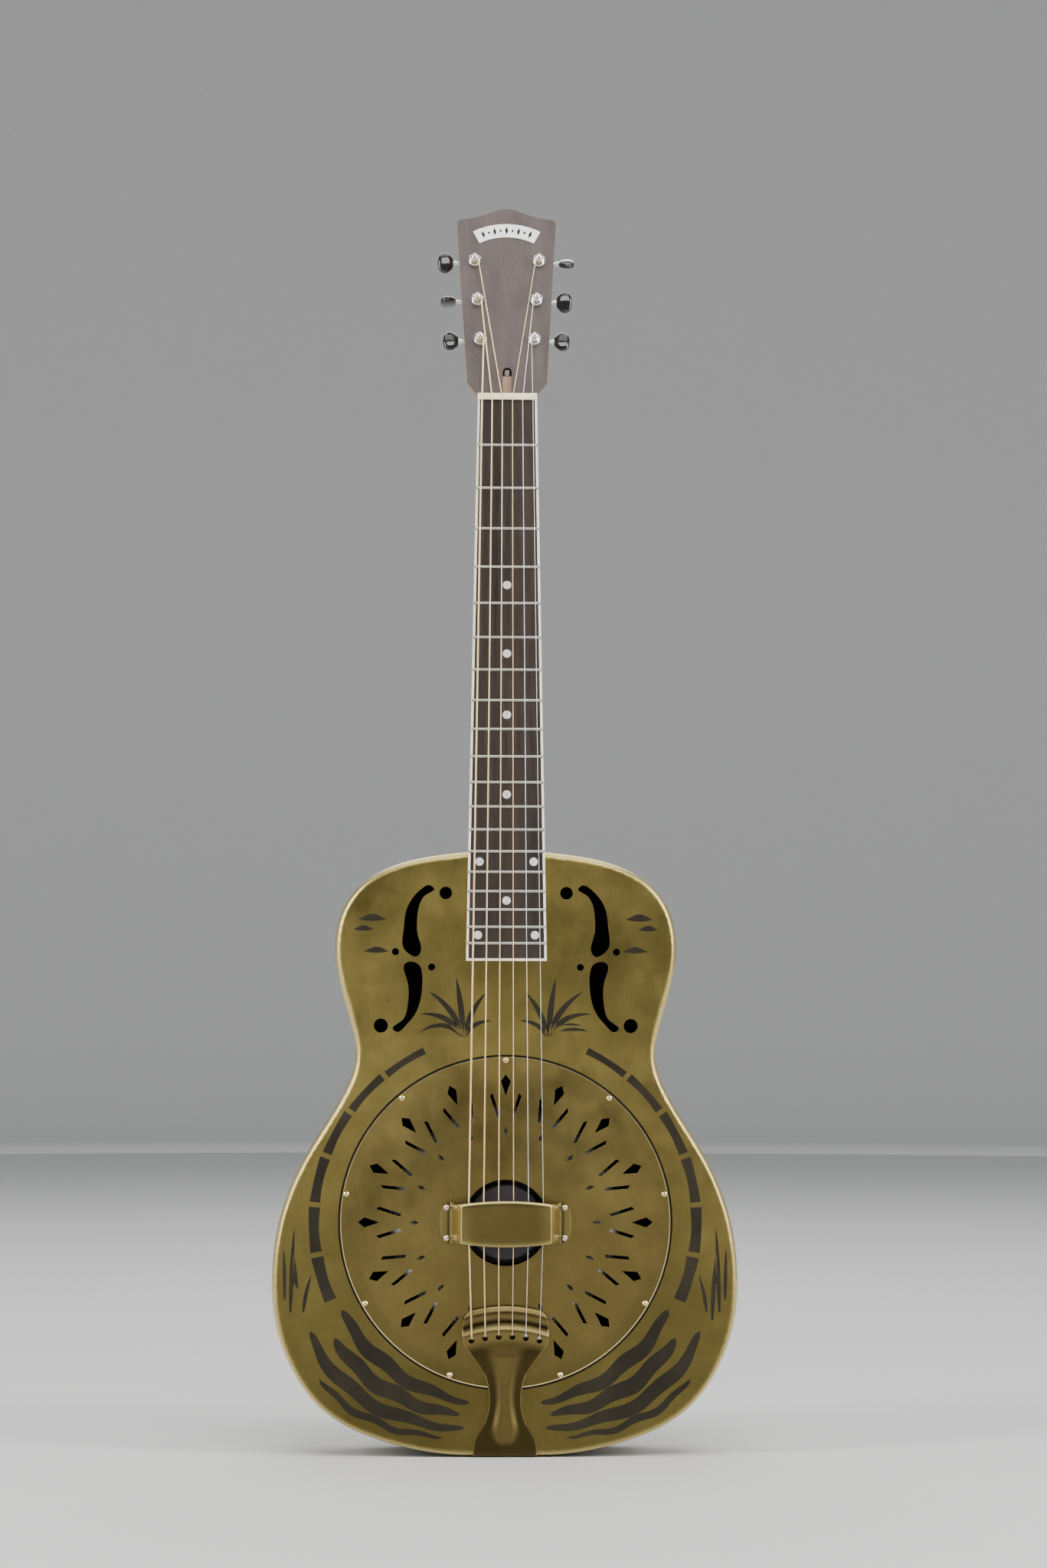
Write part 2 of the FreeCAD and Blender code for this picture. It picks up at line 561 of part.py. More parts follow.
def head_outline():
    """Headstock outline in its own frame: straight chamfers, flared sides, arched and peaked top."""
    base = BOARD_HALF_AT_NUT
    top = 39.3
    crown = 148.0
    peak = 157.5
    corner = 3.2
    right = [V(base, 0, 0), V(CHEEK_HALF, 0, CHEEK_Z), V(top - 0.15, 0, crown - corner)]
    lines = [Part.makeLine(right[0], right[1]), Part.makeLine(right[1], right[2])]
    bend = spline([right[2], V(top - 1.0, 0, crown - 0.7), V(top - corner, 0, crown + 0.3)],
                  V(0, 0, 1), V(-1, 0, 0.08))
    sweep = spline([V(top - corner, 0, crown + 0.3), V(22.0, 0, crown + 2.9), V(8.0, 0, peak - 1.6),
                    V(0, 0, peak)], V(-1, 0, 0.1), V(-1, 0, 0))
    lines += [bend, sweep]
    mirrored = [mirror_x(e) for e in lines]
    foot = Part.makeLine(V(-base, 0, 0), V(base, 0, 0))
    return Part.Wire(Part.__sortEdges__(lines + mirrored + [foot]))


def post_spots():
    """Posts in the headstock frame, string 1 first: treble side upwards, then bass side downwards."""
    right = [(x, z - NUT_THICKNESS) for x, z in POSTS]
    left = [(-x, z - NUT_THICKNESS) for x, z in reversed(POSTS)]
    return right + left


def head_to_neck():
    """Placement of the headstock frame inside the neck frame."""
    return FreeCAD.Placement(V(0, HEAD_DROP, NUT_THICKNESS), FreeCAD.Rotation(V(1, 0, 0), -HEAD_TILT))


def neck_depth(z):
    """Depth of the neck's wood below the board: a slow taper, then the sweep of the heel."""
    shaft = 15.0 - z * 0.0115
    heel_start, heel_end = -308.0, -362.0
    share = max(0.0, (heel_start - z) / (heel_start - heel_end))
    return shaft + 62.0 * share ** 2.6


def neck_wood():
    """Shaft, heel and headstock core as one solid in the neck frame."""
    heights = [9.0, -308.0] + [-308.0 - 3.6 * step for step in range(1, 16)]
    wood = placed(prism(head_outline(), OVERLAY, OVERLAY + HEAD_WOOD), head_to_neck())
    for upper, lower in zip(heights, heights[1:]):
        ends = [neck_section(z, board_half(min(z, 0.0)), neck_depth(z)) for z in (upper, lower)]
        wood = wood.fuse(Part.makeLoft(ends, True, True))
    return wood


def make_neck():
    neck = neck_wood()
    cutters = [box((-60, -20, -9), (60, BOARD, NUT_THICKNESS)),
               placed(box((-60, -30, 0), (60, OVERLAY, 200)), head_to_neck()),
               box((-2.7, BOARD, -345), (2.7, TRUSS_Y + 2.7, -1)),
               rod(2.7, (0, TRUSS_Y, -2), (0, TRUSS_Y, NUT_THICKNESS + 15)),
               box((-3.5, 3.0, NUT_THICKNESS + 14.5), (3.5, BOARD + 10, NUT_THICKNESS + 21.9))]
    for x, z in post_spots():
        cutters.append(placed(rod(4.2, (x, -5, z), (x, 25, z)), head_to_neck()))
    cheek_z = NUT_THICKNESS + CHEEK_Z * math.cos(math.radians(HEAD_TILT))
    for side in (1, -1):
        under = [(BOARD_HALF_AT_NUT, NUT_THICKNESS), (CHEEK_HALF, cheek_z), (60, cheek_z), (60, 0.5),
                 (BOARD_HALF_AT_NUT, 0.5)]
        cutters.append(prism(polygon([(side * x, z) for x, z in under]), -5, 60))
    for cutter in cutters:
        neck = neck.cut(cutter)
    neck = placed(neck, neck_place()).cut(prism(body_outline(), -60, 60))
    save("neck", max(neck.Solids, key=lambda solid: solid.Volume))


def make_overlay():
    """Veneer on the headstock with the tuner holes and the open slot over the truss nut."""
    overlay = prism(head_outline(), 0, OVERLAY)
    slot_half = 3.5
    slot_end = 27.4 - NUT_THICKNESS - slot_half
    overlay = overlay.cut(box((-slot_half, -1, -1), (slot_half, OVERLAY + 1, slot_end)))
    overlay = overlay.cut(rod(slot_half, (0, -1, slot_end), (0, OVERLAY + 1, slot_end)))
    for x, z in post_spots():
        overlay = overlay.cut(rod(4.2, (x, -5, z), (x, 25, z)))
    overlay = placed(overlay, head_to_neck())
    overlay = overlay.cut(box((-60, -20, -9), (60, 20, NUT_THICKNESS)))
    save("headstock_overlay", placed(overlay.Solids[0], neck_place()))


def make_badge():
    """Blank arched plate near the top of the headstock."""
    outer_r, inner_r = 58.0, 46.8
    middle_z = 144.2 - NUT_THICKNESS + 5.4
    centre = middle_z - outer_r
    half_angle = 27.4
    angles = [math.radians(90 + half_angle), math.radians(90), math.radians(90 - half_angle)]

    def at(radius, angle):
        return V(radius * math.cos(angle), 0, centre + radius * math.sin(angle))
    outer = Part.Arc(*[at(outer_r, a) for a in angles]).toShape()
    inner = Part.Arc(*[at(inner_r, a) for a in reversed(angles)]).toShape()
    right = Part.makeLine(at(outer_r, angles[2]), at(inner_r, angles[2]))
    left = Part.makeLine(at(inner_r, angles[0]), at(outer_r, angles[0]))
    badge = prism(Part.Wire([outer, right, inner, left]), -0.8, 0)
    save("headstock_badge", placed(badge, head_place()))


def make_truss():
    """Steel rod in the neck with a threaded stub, and its socket-head nut in the pocket."""
    hole_end = NUT_THICKNESS + 14.6
    bar = rod(2.5, (0, TRUSS_Y, -340), (0, TRUSS_Y, hole_end))
    stub = rod(1.3, (0, TRUSS_Y, hole_end), (0, TRUSS_Y, hole_end + 2.8))
    save("truss_rod", placed(bar.fuse(stub).removeSplitter(), neck_place()))
    nut = rod(2.6, (0, TRUSS_Y, hole_end + 0.15), (0, TRUSS_Y, hole_end + 5.0))
    nut = nut.cut(rod(1.35, (0, TRUSS_Y, hole_end), (0, TRUSS_Y, hole_end + 2.9)))
    corners = []
    for i in range(6):
        angle = math.radians(60 * i)
        corners.append(V(1.8 * math.cos(angle), TRUSS_Y + 1.8 * math.sin(angle), hole_end + 2.9))
    socket = Part.Face(Part.makePolygon(corners + corners[:1])).extrude(V(0, 0, 4))
    save("truss_nut", placed(nut.cut(socket), neck_place()))


def make_fingerboard():
    end = -BOARD_LENGTH
    inner_end = end + BINDING
    outline = polygon([(board_half(0), 0), (board_half(end), end), (-board_half(end), end), (-board_half(0), 0)])
    core = polygon([(board_half(0) - BINDING, 0), (board_half(end) - BINDING, inner_end),
                    (BINDING - board_half(end), inner_end), (BINDING - board_half(0), 0)])
    whole = prism(outline, 0, BOARD)
    board = prism(core, 0, BOARD)
    binding = whole.cut(board)
    frets = []
    for n in range(1, FRET_COUNT + 1):
        z = fret_z(n)
        tang = box((-board_half(z) + 2.2, 0, z - 0.3), (board_half(z) - 2.2, 1.8, z + 0.3))
        board = board.cut(tang)
        frets.append(fret(z).fuse(tang).removeSplitter())
    dots = []
    marked = ((5, (0,)), (7, (0,)), (9, (0,)), (12, (0,)), (15, (-21.1, 21.1)), (17, (0,)), (19, (-22.2, 22.2)))
    for n, offsets in marked:
        z = (fret_z(n) + fret_z(n - 1)) / 2
        for x in offsets:
            dot = rod(3.25, (x, 0, z), (x, 1.0, z))
            board = board.cut(dot)
            dots.append(dot)
    place = neck_place()
    save("fingerboard", placed(board, place))
    save("fingerboard_binding", placed(binding, place))
    save("frets", *[placed(f, place) for f in frets])
    save("fret_markers", *[placed(d, place) for d in dots])

    top = -HALF_DEPTH
    joint = BODY_LENGTH + TAB
    lean = math.tan(math.radians(NECK_LEAN))
    under_at_nut = BOARD_Y_AT_NUT + BOARD / math.cos(math.radians(NECK_LEAN))
    low_z = NUT_Z - BOARD_LENGTH + 1.5
    upper_y = under_at_nut - (NUT_Z - joint) * lean
    lower_y = under_at_nut - (NUT_Z - low_z) * lean
    side = Part.makePolygon([V(-28, top, joint), V(-28, upper_y, joint), V(-28, lower_y, low_z),
                             V(-28, top, low_z), V(-28, top, joint)])
    wedge = Part.Face(side).extrude(V(56, 0, 0))
    save("fingerboard_wedge", wedge.common(prism(body_outline(), -60, 60)).Solids[0])


def fret(z):
    """Crown of one fret: a low round bead across the board with bevelled ends."""
    half = board_half(z) - 0.3
    crown = Part.Arc(V(-half, 0, z - 1.2), V(-half, -1.1, z), V(-half, 0, z + 1.2)).toShape()
    base = Part.makeLine(V(-half, 0, z + 1.2), V(-half, 0, z - 1.2))
    bead = Part.Face(Part.Wire([crown, base])).extrude(V(2 * half, 0, 0))
    for side in (-1, 1):
        wedge = Part.Face(Part.makePolygon([V(side * half, 0, z - 3), V(side * (half + 2), 0, z - 3),
                                            V(side * (half + 2), -2, z - 3), V(side * (half - 1.2), -2, z - 3),
                                            V(side * half, 0, z - 3)])).extrude(V(0, 0, 6))
        bead = bead.cut(wedge)
    return bead


def make_nut():
    half = board_half(0)
    side = Part.makePolygon([V(-half, BOARD, 0), V(-half, -NUT_RISE, 0), V(-half, -NUT_RISE, 2.2),
                             V(-half, -NUT_RISE + 2.6, NUT_THICKNESS), V(-half, BOARD, NUT_THICKNESS),
                             V(-half, BOARD, 0)])
    nut = Part.Face(side).extrude(V(2 * half, 0, 0))
    to_neck = neck_place().inverse()
    for path in string_paths():
        r = path["radius"] + 0.02
        rest = to_neck.multVec(path["nut"])
        after = to_neck.multVec(path["nut_back"])
        before = to_neck.multVec(path["saddle"])
        lead = (rest - before).normalize()
        nut = nut.cut(rod(r, tuple(rest - lead * 3), tuple(rest)))
        nut = nut.cut(Part.makeSphere(r, rest))
        nut = nut.cut(rod(r, tuple(rest), tuple(rest + (after - rest).normalize() * 9)))
        slab = box((rest.x - r, rest.y - 6, -3), (rest.x + r, rest.y, 0.6))
        nut = nut.cut(slab)
        ramp = Part.Face(Part.makePolygon([V(rest.x - r, rest.y, rest.z), V(rest.x - r, rest.y - 6, rest.z),
                                           V(rest.x - r, rest.y - 6, rest.z + 9),
                                           V(rest.x - r, rest.y + (after - rest).y / (after - rest).z * 9,
                                             rest.z + 9),
                                           V(rest.x - r, rest.y, rest.z)])).extrude(V(2 * r, 0, 0))
        nut = nut.cut(ramp)
    save("nut", placed(max(nut.Solids, key=lambda s: s.Volume), neck_place()))


# ---- tuners ---------------------------------------------------------------------------------------
def worm_thread(length):
    """Right-hand thread about the X axis, centred on the origin, with its root buried in the core."""
    pitch = 2 * math.pi * GEAR_PITCH_R / GEAR_TEETH
    buried = WORM_ROOT_R - 0.15
    helix = Part.makeHelix(pitch, length, WORM_ROOT_R)
    profile = Part.makePolygon([V(buried, 0, -0.6), V(WORM_TIP_R, 0, -0.27), V(WORM_TIP_R, 0, 0.27),
                                V(buried, 0, 0.6), V(buried, 0, -0.6)])
    thread = Part.Wire(helix).makePipeShell([profile], True, True)
    if thread.Volume < 0:
        thread.reverse()
    thread.translate(V(0, 0, -length / 2))
    thread.rotate(V(0, 0, 0), V(0, 1, 0), 90)
    return thread


def make_worm():
    """Worm shaft about the X axis through the origin; the button's end is towards +X."""
    thread_length = 4 * 2 * math.pi * GEAR_PITCH_R / GEAR_TEETH
    inner = LUG_X - LUG / 2 - 0.1
    core = rod(WORM_ROOT_R, (-inner, 0, 0), (inner, 0, 0))
    shaft = rod(SHAFT_R, (-LUG_X - LUG / 2 - 0.8, 0, 0), (BUTTON_START + 7, 0, 0))
    collar = rod(2.1, (BUTTON_START - 1.6, 0, 0), (BUTTON_START, 0, 0))
    cap = rod(2.0, (-LUG_X - LUG / 2 - 0.9, 0, 0), (-LUG_X - LUG / 2 - 0.15, 0, 0))
    return core.fuse([shaft, collar, cap, worm_thread(thread_length)]).removeSplitter()


def make_button():
    """Oval button on the end of the shaft, slimmer at its rim, with the shaft's bore in it."""
    length, tall, thick = BUTTON_LENGTH, 17.3, 6.7
    ball = Part.makeSphere(1.0)
    stretch = FreeCAD.Matrix()
    stretch.scale(length / 2 * 1.18, thick / 2, tall / 2)
    body = ball.transformGeometry(stretch)
    body.translate(V(BUTTON_START + length / 2, 0, 0))
    body = body.common(box((BUTTON_START, -9, -12), (BUTTON_START + length, 9, 12)))
    neck = rod(2.7, (BUTTON_START, 0, 0), (BUTTON_START + 3.0, 0, 0))
    body = body.fuse(neck)
    return body.cut(rod(SHAFT_R, (BUTTON_START - 1, 0, 0), (BUTTON_START + 7, 0, 0))).removeSplitter()


def gear_section(y, turn):
    """Toothed outline at one depth, in the plane of that depth."""
    points = []
    root_half = 1.1 / 2 / GEAR_ROOT_R
    tip_half = 0.5 / 2 / GEAR_TIP_R
    for i in range(GEAR_TEETH):
        middle = 2 * math.pi * i / GEAR_TEETH + turn
        for radius, offset in ((GEAR_ROOT_R, -root_half), (GEAR_TIP_R, -tip_half),
                               (GEAR_TIP_R, tip_half), (GEAR_ROOT_R, root_half)):
            angle = middle + offset
            points.append(V(radius * math.sin(angle), y, radius * math.cos(angle)))
    return Part.makePolygon(points + points[:1])


def make_gear():
    """Gear about the Y axis through the origin with slanted teeth, and the screw that holds it."""
    half = GEAR_WIDTH / 2
    slant = half * math.tan(math.radians(HELIX_ANGLE)) / GEAR_PITCH_R
    start = math.pi / GEAR_TEETH
    gear = Part.makeLoft([gear_section(-half, start + slant), gear_section(half, start - slant)], True, True)
    gear = gear.cut(rod(1.8, (0, -half - 1, 0), (0, half + 1, 0)))
    screw = turned([(0, half + 1.3), (1.6, half + 1.3), (2.6, half + 0.8), (2.6, half), (1.0, half),
                    (1.0, half - 3), (0, half - 3)])
    screw = screw.cut(box((-3, half + 0.6, -0.35), (3, half + 2, 0.35)))
    return gear, screw


def make_post():
    """String post about the Y axis: gear seat behind, waist for the string and ball end in front."""
    seat = WORM_Y - GEAR_WIDTH / 2
    post = turned([(0, -11.0), (1.3, -10.75), (2.2, -10.1), (2.6, -9.1), (2.3, -8.1), (2.75, -7.7), (3.0, -7.3),
                   (2.4, -6.9), (2.05, -6.5), (2.05, -2.2), (POST_R, -1.7), (POST_R, seat), (1.8, seat),
                   (1.8, seat + GEAR_WIDTH), (0, seat + GEAR_WIDTH)])
    return post.cut(rod(1.0, (0, WORM_Y - 2, 0), (0, WORM_Y + 3, 0)))


def tuner_placement(number):
    """Frame of a tuner: its origin is where its post leaves the headstock's face."""
    x, z = post_spots()[number - 1]
    return head_place().multiply(FreeCAD.Placement(V(x, 0, z), FreeCAD.Rotation()))


BUTTON_TURN = [-15.0, 4.0, -52.0, 0.0, 90.0, 15.0]         # how far each button stands from face-on


def make_tuners():
    worm = make_worm()
    button = make_button()
    gear, screw = make_gear()
    post = make_post()
    for number in range(1, 7):
        place = tuner_placement(number)
        side = 1 if number <= 3 else -1
        parts = {"worm": [worm.copy()], "button": [button.copy()], "gear": [gear, screw], "post": [post]}
        for shape in parts["button"]:
            shape.rotate(V(0, 0, 0), V(1, 0, 0), BUTTON_TURN[number - 1])
        for name in ("worm", "button"):
            for shape in parts[name]:
                if side < 0:
                    shape.rotate(V(0, 0, 0), V(0, 0, 1), 180)
                shape.translate(V(0, WORM_Y, WORM_Z))
        gear_parts = []
        for shape in parts["gear"]:
            copy = shape.copy()
            copy.translate(V(0, WORM_Y, 0))
            gear_parts.append(copy)
        parts["gear"] = gear_parts
        for name, shapes in parts.items():
            save("tuner_%s_%d" % (name, number), *[placed(s, place) for s in shapes])


def make_tuner_plates():
    back = OVERLAY + HEAD_WOOD
    plates, screws = [], []
    for side in (1, -1):
        spots = [(side * x, z - NUT_THICKNESS) for x, z in POSTS]
        (x0, z0), (x1, z1) = spots[0], spots[-1]
        lean = (x1 - x0) / (z1 - z0)
        low, high = z0 - 13, z1 + 15
        at_low, at_high = x0 + lean * (low - z0), x0 + lean * (high - z0)
        plate = prism(polygon([(at_low - 9, low), (at_low + 9, low), (at_high + 9, high), (at_high - 9, high)]),
                      back, back + TUNER_PLATE)
        lugs = []
        for x, z in spots:
            for offset in (-LUG_X, LUG_X):
                lug = box((x + offset - LUG / 2, back + TUNER_PLATE, z + WORM_Z - 3),
                          (x + offset + LUG / 2, WORM_Y + 3, z + WORM_Z + 3))
                lugs.append(lug)
        plate = plate.fuse(lugs)
        for x, z in spots:
            plate = plate.cut(rod(POST_BORE_R, (x, back - 1, z), (x, back + 3, z)))
            plate = plate.cut(rod(SHAFT_BORE_R, (x - 12, WORM_Y, z + WORM_Z), (x + 12, WORM_Y, z + WORM_Z)))
        for z in (low + 4, (spots[0][1] + spots[1][1]) / 2 - 2, (spots[1][1] + spots[2][1]) / 2 - 2, high - 4):
            x = x0 + lean * (z - z0)
            seat = back + TUNER_PLATE
            plate = plate.cut(rod(1.2, (x, back - 1, z), (x, back + 3, z)))
            screw = turned([(0, seat + 1.2), (1.2, seat + 1.1), (2.1, seat + 0.6), (2.3, seat), (1.2, seat),
                            (1.2, back), (0, back)], (x, z))
            screw = screw.cut(box((x - 3, seat + 0.6, z - 0.3), (x + 3, seat + 2, z + 0.3)))
            screws.append(screw)
        plates.append(plate.removeSplitter())
    place = head_place()
    save("tuner_plates", *[placed(p, place) for p in plates])
    save("tuner_plate_screws", *[placed(s, place) for s in screws])

    bushings = []
    for x, z in post_spots():
        bush = turned([(POST_BORE_R, -1.6), (3.9, -1.6), (4.5, -1.1), (BUSH_R, -0.8), (BUSH_R, 0), (4.15, 0),
                       (4.15, back), (POST_BORE_R, back)], (x, z))
        bushings.append(placed(bush, place))
    save("tuner_bushings", *bushings)


# ---- strings --------------------------------------------------------------------------------------
WRAP_Y = -5.9
WRAP_R = 2.2


def string_paths():
    """Key points of every string, treble side first: hook, saddle, nut, back of the nut, post."""
    neck = neck_place()
    head = head_place()
    paths = []
    for i, gauge in enumerate(GAUGES):
        radius = gauge / 2
        share = 0.5 - i / 5.0
        hook = V(share * TAIL_SPACING, HOOK_Y, HOOK_Z - HOOK_DROP[i] + 3.0)
        saddle = V(share * SADDLE_SPACING, SADDLE_TOP_Y - radius + 0.6, CENTRE_Z)
        nut = neck.multVec(V(share * NUT_SPACING, -STRING_RISE_AT_NUT, 0.6))
        x, z = post_spots()[i]
        side = 1 if x > 0 else -1
        wrap = WRAP_R + radius
        flat = V(share * NUT_SPACING, 0, 0)
        reach = V(x, 0, z) - flat
        distance = math.hypot(reach.x, reach.z)
        heading = math.atan2(reach.z, reach.x)
        turn = math.asin(wrap / distance)
        contact = heading + side * turn
        touch = V(x - side * wrap * math.sin(contact), WRAP_Y, z + side * wrap * math.cos(contact))
        post = head.multVec(touch)
        paths.append({"radius": radius, "hook": hook, "saddle": saddle, "nut": nut, "nut_back": post,
                      "post": post, "post_centre": (x, z), "side": side, "wrap": wrap, "contact": contact})
    return paths


def string_run(points, radius):
    """Straight runs of a string, with a slightly larger ball at each bend that joins them cleanly."""
    shape = rod(radius, tuple(points[0]), tuple(points[1]))
    for start, end in zip(points[1:], points[2:]):
        shape = shape.fuse(Part.makeSphere(1.03 * radius, start))
        shape = shape.fuse(rod(radius, tuple(start), tuple(end)))
    return shape


def make_strings():
    head = head_place()
    for number, path in enumerate(string_paths(), start=1):
        radius = path["radius"]
        x, z = path["post_centre"]
        tail = path["hook"] + V(0, 5.0, -0.8)
        run = string_run([tail, path["hook"], path["saddle"], path["nut"], path["post"]], radius)
        turns = []
        for turn in (1, 2):
            ring = Part.makeTorus(path["wrap"], radius, V(x, WRAP_Y + turn * (2 * radius + 0.02), z), V(0, 1, 0))
            turns.append(placed(ring, head))
        ball_end = Part.makeCylinder(2.0, 3.2, tail + V(-1.6, 1.3, 0), V(1, 0, 0))
        save("string_%d" % number, run.Solids[0], *turns, ball_end)


def main():
    os.makedirs("parts", exist_ok=True)
    make_body()
    make_soundwell()
    make_neck_stick()
    make_cone()
    make_coverplate()
    make_handrest()
    make_tailpiece()
    make_neck()
    make_overlay()
    make_badge()
    make_truss()
    make_fingerboard()
    make_nut()
    make_tuners()
    make_tuner_plates()
    make_strings()


main()
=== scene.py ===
import json
import math

import bmesh
import bpy
from mathutils import Matrix, Vector


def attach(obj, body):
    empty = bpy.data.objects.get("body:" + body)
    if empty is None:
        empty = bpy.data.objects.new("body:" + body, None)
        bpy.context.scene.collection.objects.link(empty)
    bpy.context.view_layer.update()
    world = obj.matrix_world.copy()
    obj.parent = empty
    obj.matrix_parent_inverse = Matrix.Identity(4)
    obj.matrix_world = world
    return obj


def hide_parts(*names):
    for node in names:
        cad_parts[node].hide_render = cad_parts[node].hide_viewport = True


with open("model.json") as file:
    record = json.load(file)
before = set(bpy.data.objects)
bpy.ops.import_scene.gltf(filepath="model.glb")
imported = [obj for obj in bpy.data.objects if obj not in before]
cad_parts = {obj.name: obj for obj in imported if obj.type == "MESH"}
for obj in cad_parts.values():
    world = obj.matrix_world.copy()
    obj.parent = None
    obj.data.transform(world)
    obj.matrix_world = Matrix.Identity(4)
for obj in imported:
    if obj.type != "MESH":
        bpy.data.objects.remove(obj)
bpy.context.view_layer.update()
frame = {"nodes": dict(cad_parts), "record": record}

# Resonator guitar standing on its tail: +Z runs up the neck, -Y is the front, +X the treble side.
# Sizes are in millimetres and are turned to metres by MM where a mesh is made. The studio's sizes and
# the scales in the materials are in metres.
MM = 0.001
WELD_GAP = 1e-6                  # metres between vertices that count as one

# ---- sizes shared with the CAD model --------------------------------------------------------------
PLATE_CENTRE_Z = 181.7           # axis of the coverplate
TOP_Y = -41.0                    # front face of the body's top sheet
TAIL_SHEET = 1.2
KEYHOLE_Z = 94.2
KEYHOLE_SPACING = 10.5
KEYHOLE_ARCH = 0.00436           # how far a keyhole drops, per square of its distance from the middle
NUT_Z = 824.6
BOARD_Y_AT_NUT = -42.0
NECK_LEAN = 1.21
HEAD_TILT = 12.0
HEAD_DROP = 4.2
NUT_THICKNESS = 5.5
POSTS = [(21.5, 45.8), (23.5, 79.4), (25.55, 112.8)]     # across and up the headstock, treble side
WORM_Y = 22.0
WORM_Z = 7.2
BUTTON_START = 16.2
BUTTON_TURN = [-15.0, 4.0, -52.0, 0.0, 90.0, 15.0]

# ---- camera ---------------------------------------------------------------------------------------
CAMERA_AT = (-80.6, -3109.3, 373.7)
CAMERA_PITCH = 2.78              # degrees up
CAMERA_YAW = 1.753               # degrees towards +X
CAMERA_ROLL = 0.124
CAMERA_LENS = 90.3               # on a frame 36 mm tall


# ---- small helpers --------------------------------------------------------------------------------
def turn_x(degrees):
    """Turn about X by degrees."""
    return Matrix.Rotation(math.radians(degrees), 4, "X")


def neck_matrix():
    """Neck frame in millimetres: origin on the board's surface at the nut, Z up the board."""
    return Matrix.Translation((0, BOARD_Y_AT_NUT, NUT_Z)) @ turn_x(-NECK_LEAN)


def head_matrix():
    """Headstock frame in millimetres: origin on its face just behind the nut, Z up the headstock."""
    return neck_matrix() @ Matrix.Translation((0, HEAD_DROP, NUT_THICKNESS)) @ turn_x(-HEAD_TILT)


def smoothstep(low, high, value):
    """Smooth rise from 0 to 1 between two values."""
    share = min(1.0, max(0.0, (value - low) / (high - low)))
    return share * share * (3 - 2 * share)


def along(points, value):
    """Reading of a list of (position, height) pairs at one position."""
    if value <= points[0][0]:
        return points[0][1]
    for (a, low), (b, high) in zip(points, points[1:]):
        if value <= b:
            return low + (high - low) * (value - a) / (b - a)
    return points[-1][1]


LINE_STEP = 0.9


def smooth_line(points, steps=None):
    """Points of a smooth line through pairs, in so many steps a stretch or about LINE_STEP apart."""
    line = []
    for i in range(len(points) - 1):
        before = Vector(points[max(i - 1, 0)])
        first, second = Vector(points[i]), Vector(points[i + 1])
        after = Vector(points[min(i + 2, len(points) - 1)])
        count = max(2, round((second - first).length / LINE_STEP)) if steps is None else steps
        for k in range(count):
            t = k / count
            line.append(0.5 * ((2 * first) + (second - before) * t
                               + (2 * before - 5 * first + 4 * second - after) * t ** 2
                               + (3 * first - before - 3 * second + after) * t ** 3))
    line.append(Vector(points[-1]))
    return line


def mesh_object(name, vertices, faces, smooth=True):
    """Object from vertices in millimetres."""
    mesh = bpy.data.meshes.new(name)
    mesh.from_pydata([Vector(v) * MM for v in vertices], [], faces)
    mesh.validate()
    if smooth:
        mesh.polygons.foreach_set("use_smooth", [True] * len(mesh.polygons))
    thing = bpy.data.objects.new(name, mesh)
    bpy.context.scene.collection.objects.link(thing)
    return thing


def evaluated_mesh(thing):
    """New mesh of an object as its modifiers or its curve leave it."""
    graph = bpy.context.evaluated_depsgraph_get()
    return bpy.data.meshes.new_from_object(thing.evaluated_get(graph))


def apply_modifiers(thing):
    """Makes the modifiers' result the object's own mesh."""
    mesh = evaluated_mesh(thing)
    thing.modifiers.clear()
    thing.data = mesh


def finish_piece(thing, body, slot, material, *replaced):
    """Gives a piece its material and body, and hides the CAD nodes, named in replaced, that it replaces; slot
    is not used.
    """
    thing.data.materials.clear()
    thing.data.materials.append(material)
    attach(thing, body)
    if replaced:
        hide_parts(*replaced)


def add_bevel(thing, width, angle, weight):
    """Rounds the edges sharper than an angle and evens out the normals, by weight."""
    bevel = thing.modifiers.new("bevel", "BEVEL")
    bevel.width = width * MM
    bevel.segments = 2
    bevel.limit_method = "ANGLE"
    bevel.angle_limit = math.radians(angle)
    normals = thing.modifiers.new("normals", "WEIGHTED_NORMAL")
    normals.weight = weight


def soften(node, width):
    """Thin bevel on a CAD node's sharp edges."""
    thing = frame["nodes"][node]
    weld = thing.modifiers.new("weld", "WELD")
    weld.merge_threshold = WELD_GAP
    add_bevel(thing, width, 35, 80)


# ---- materials ------------------------------------------------------------------------------------
def add(tree, kind, settings=None, **values):
    """Adds a shader node; an underscore in a value's name stands for a space in the socket's."""
    node = tree.nodes.new(kind)
    for name, value in (settings or {}).items():
        setattr(node, name, value)
    for name, value in values.items():
        socket = node.inputs[name.replace("_", " ")]
        if isinstance(value, bpy.types.NodeSocket):
            tree.links.new(value, socket)
        else:
            socket.default_value = value
    return node


def start(name, **values):
    """New material with its shader's plain values set."""
    material = bpy.data.materials.new(name)
    material.use_nodes = True
    tree = material.node_tree
    shader = tree.nodes["Principled BSDF"]
    for key, value in values.items():
        shader.inputs[key.replace("_", " ")].default_value = value
    return material, tree, shader


def noise(tree, scale, stretch=(1, 1, 1), detail=4.0, roughness=0.55):
    """Noise in object space; scale is in cells per metre."""
    mapping = add(tree, "ShaderNodeMapping", Vector=object_place(tree), Scale=stretch)
    texture = add(tree, "ShaderNodeTexNoise", Vector=mapping.outputs["Vector"], Scale=scale, Detail=detail,
                  Roughness=roughness)
    return texture.outputs["Fac"]


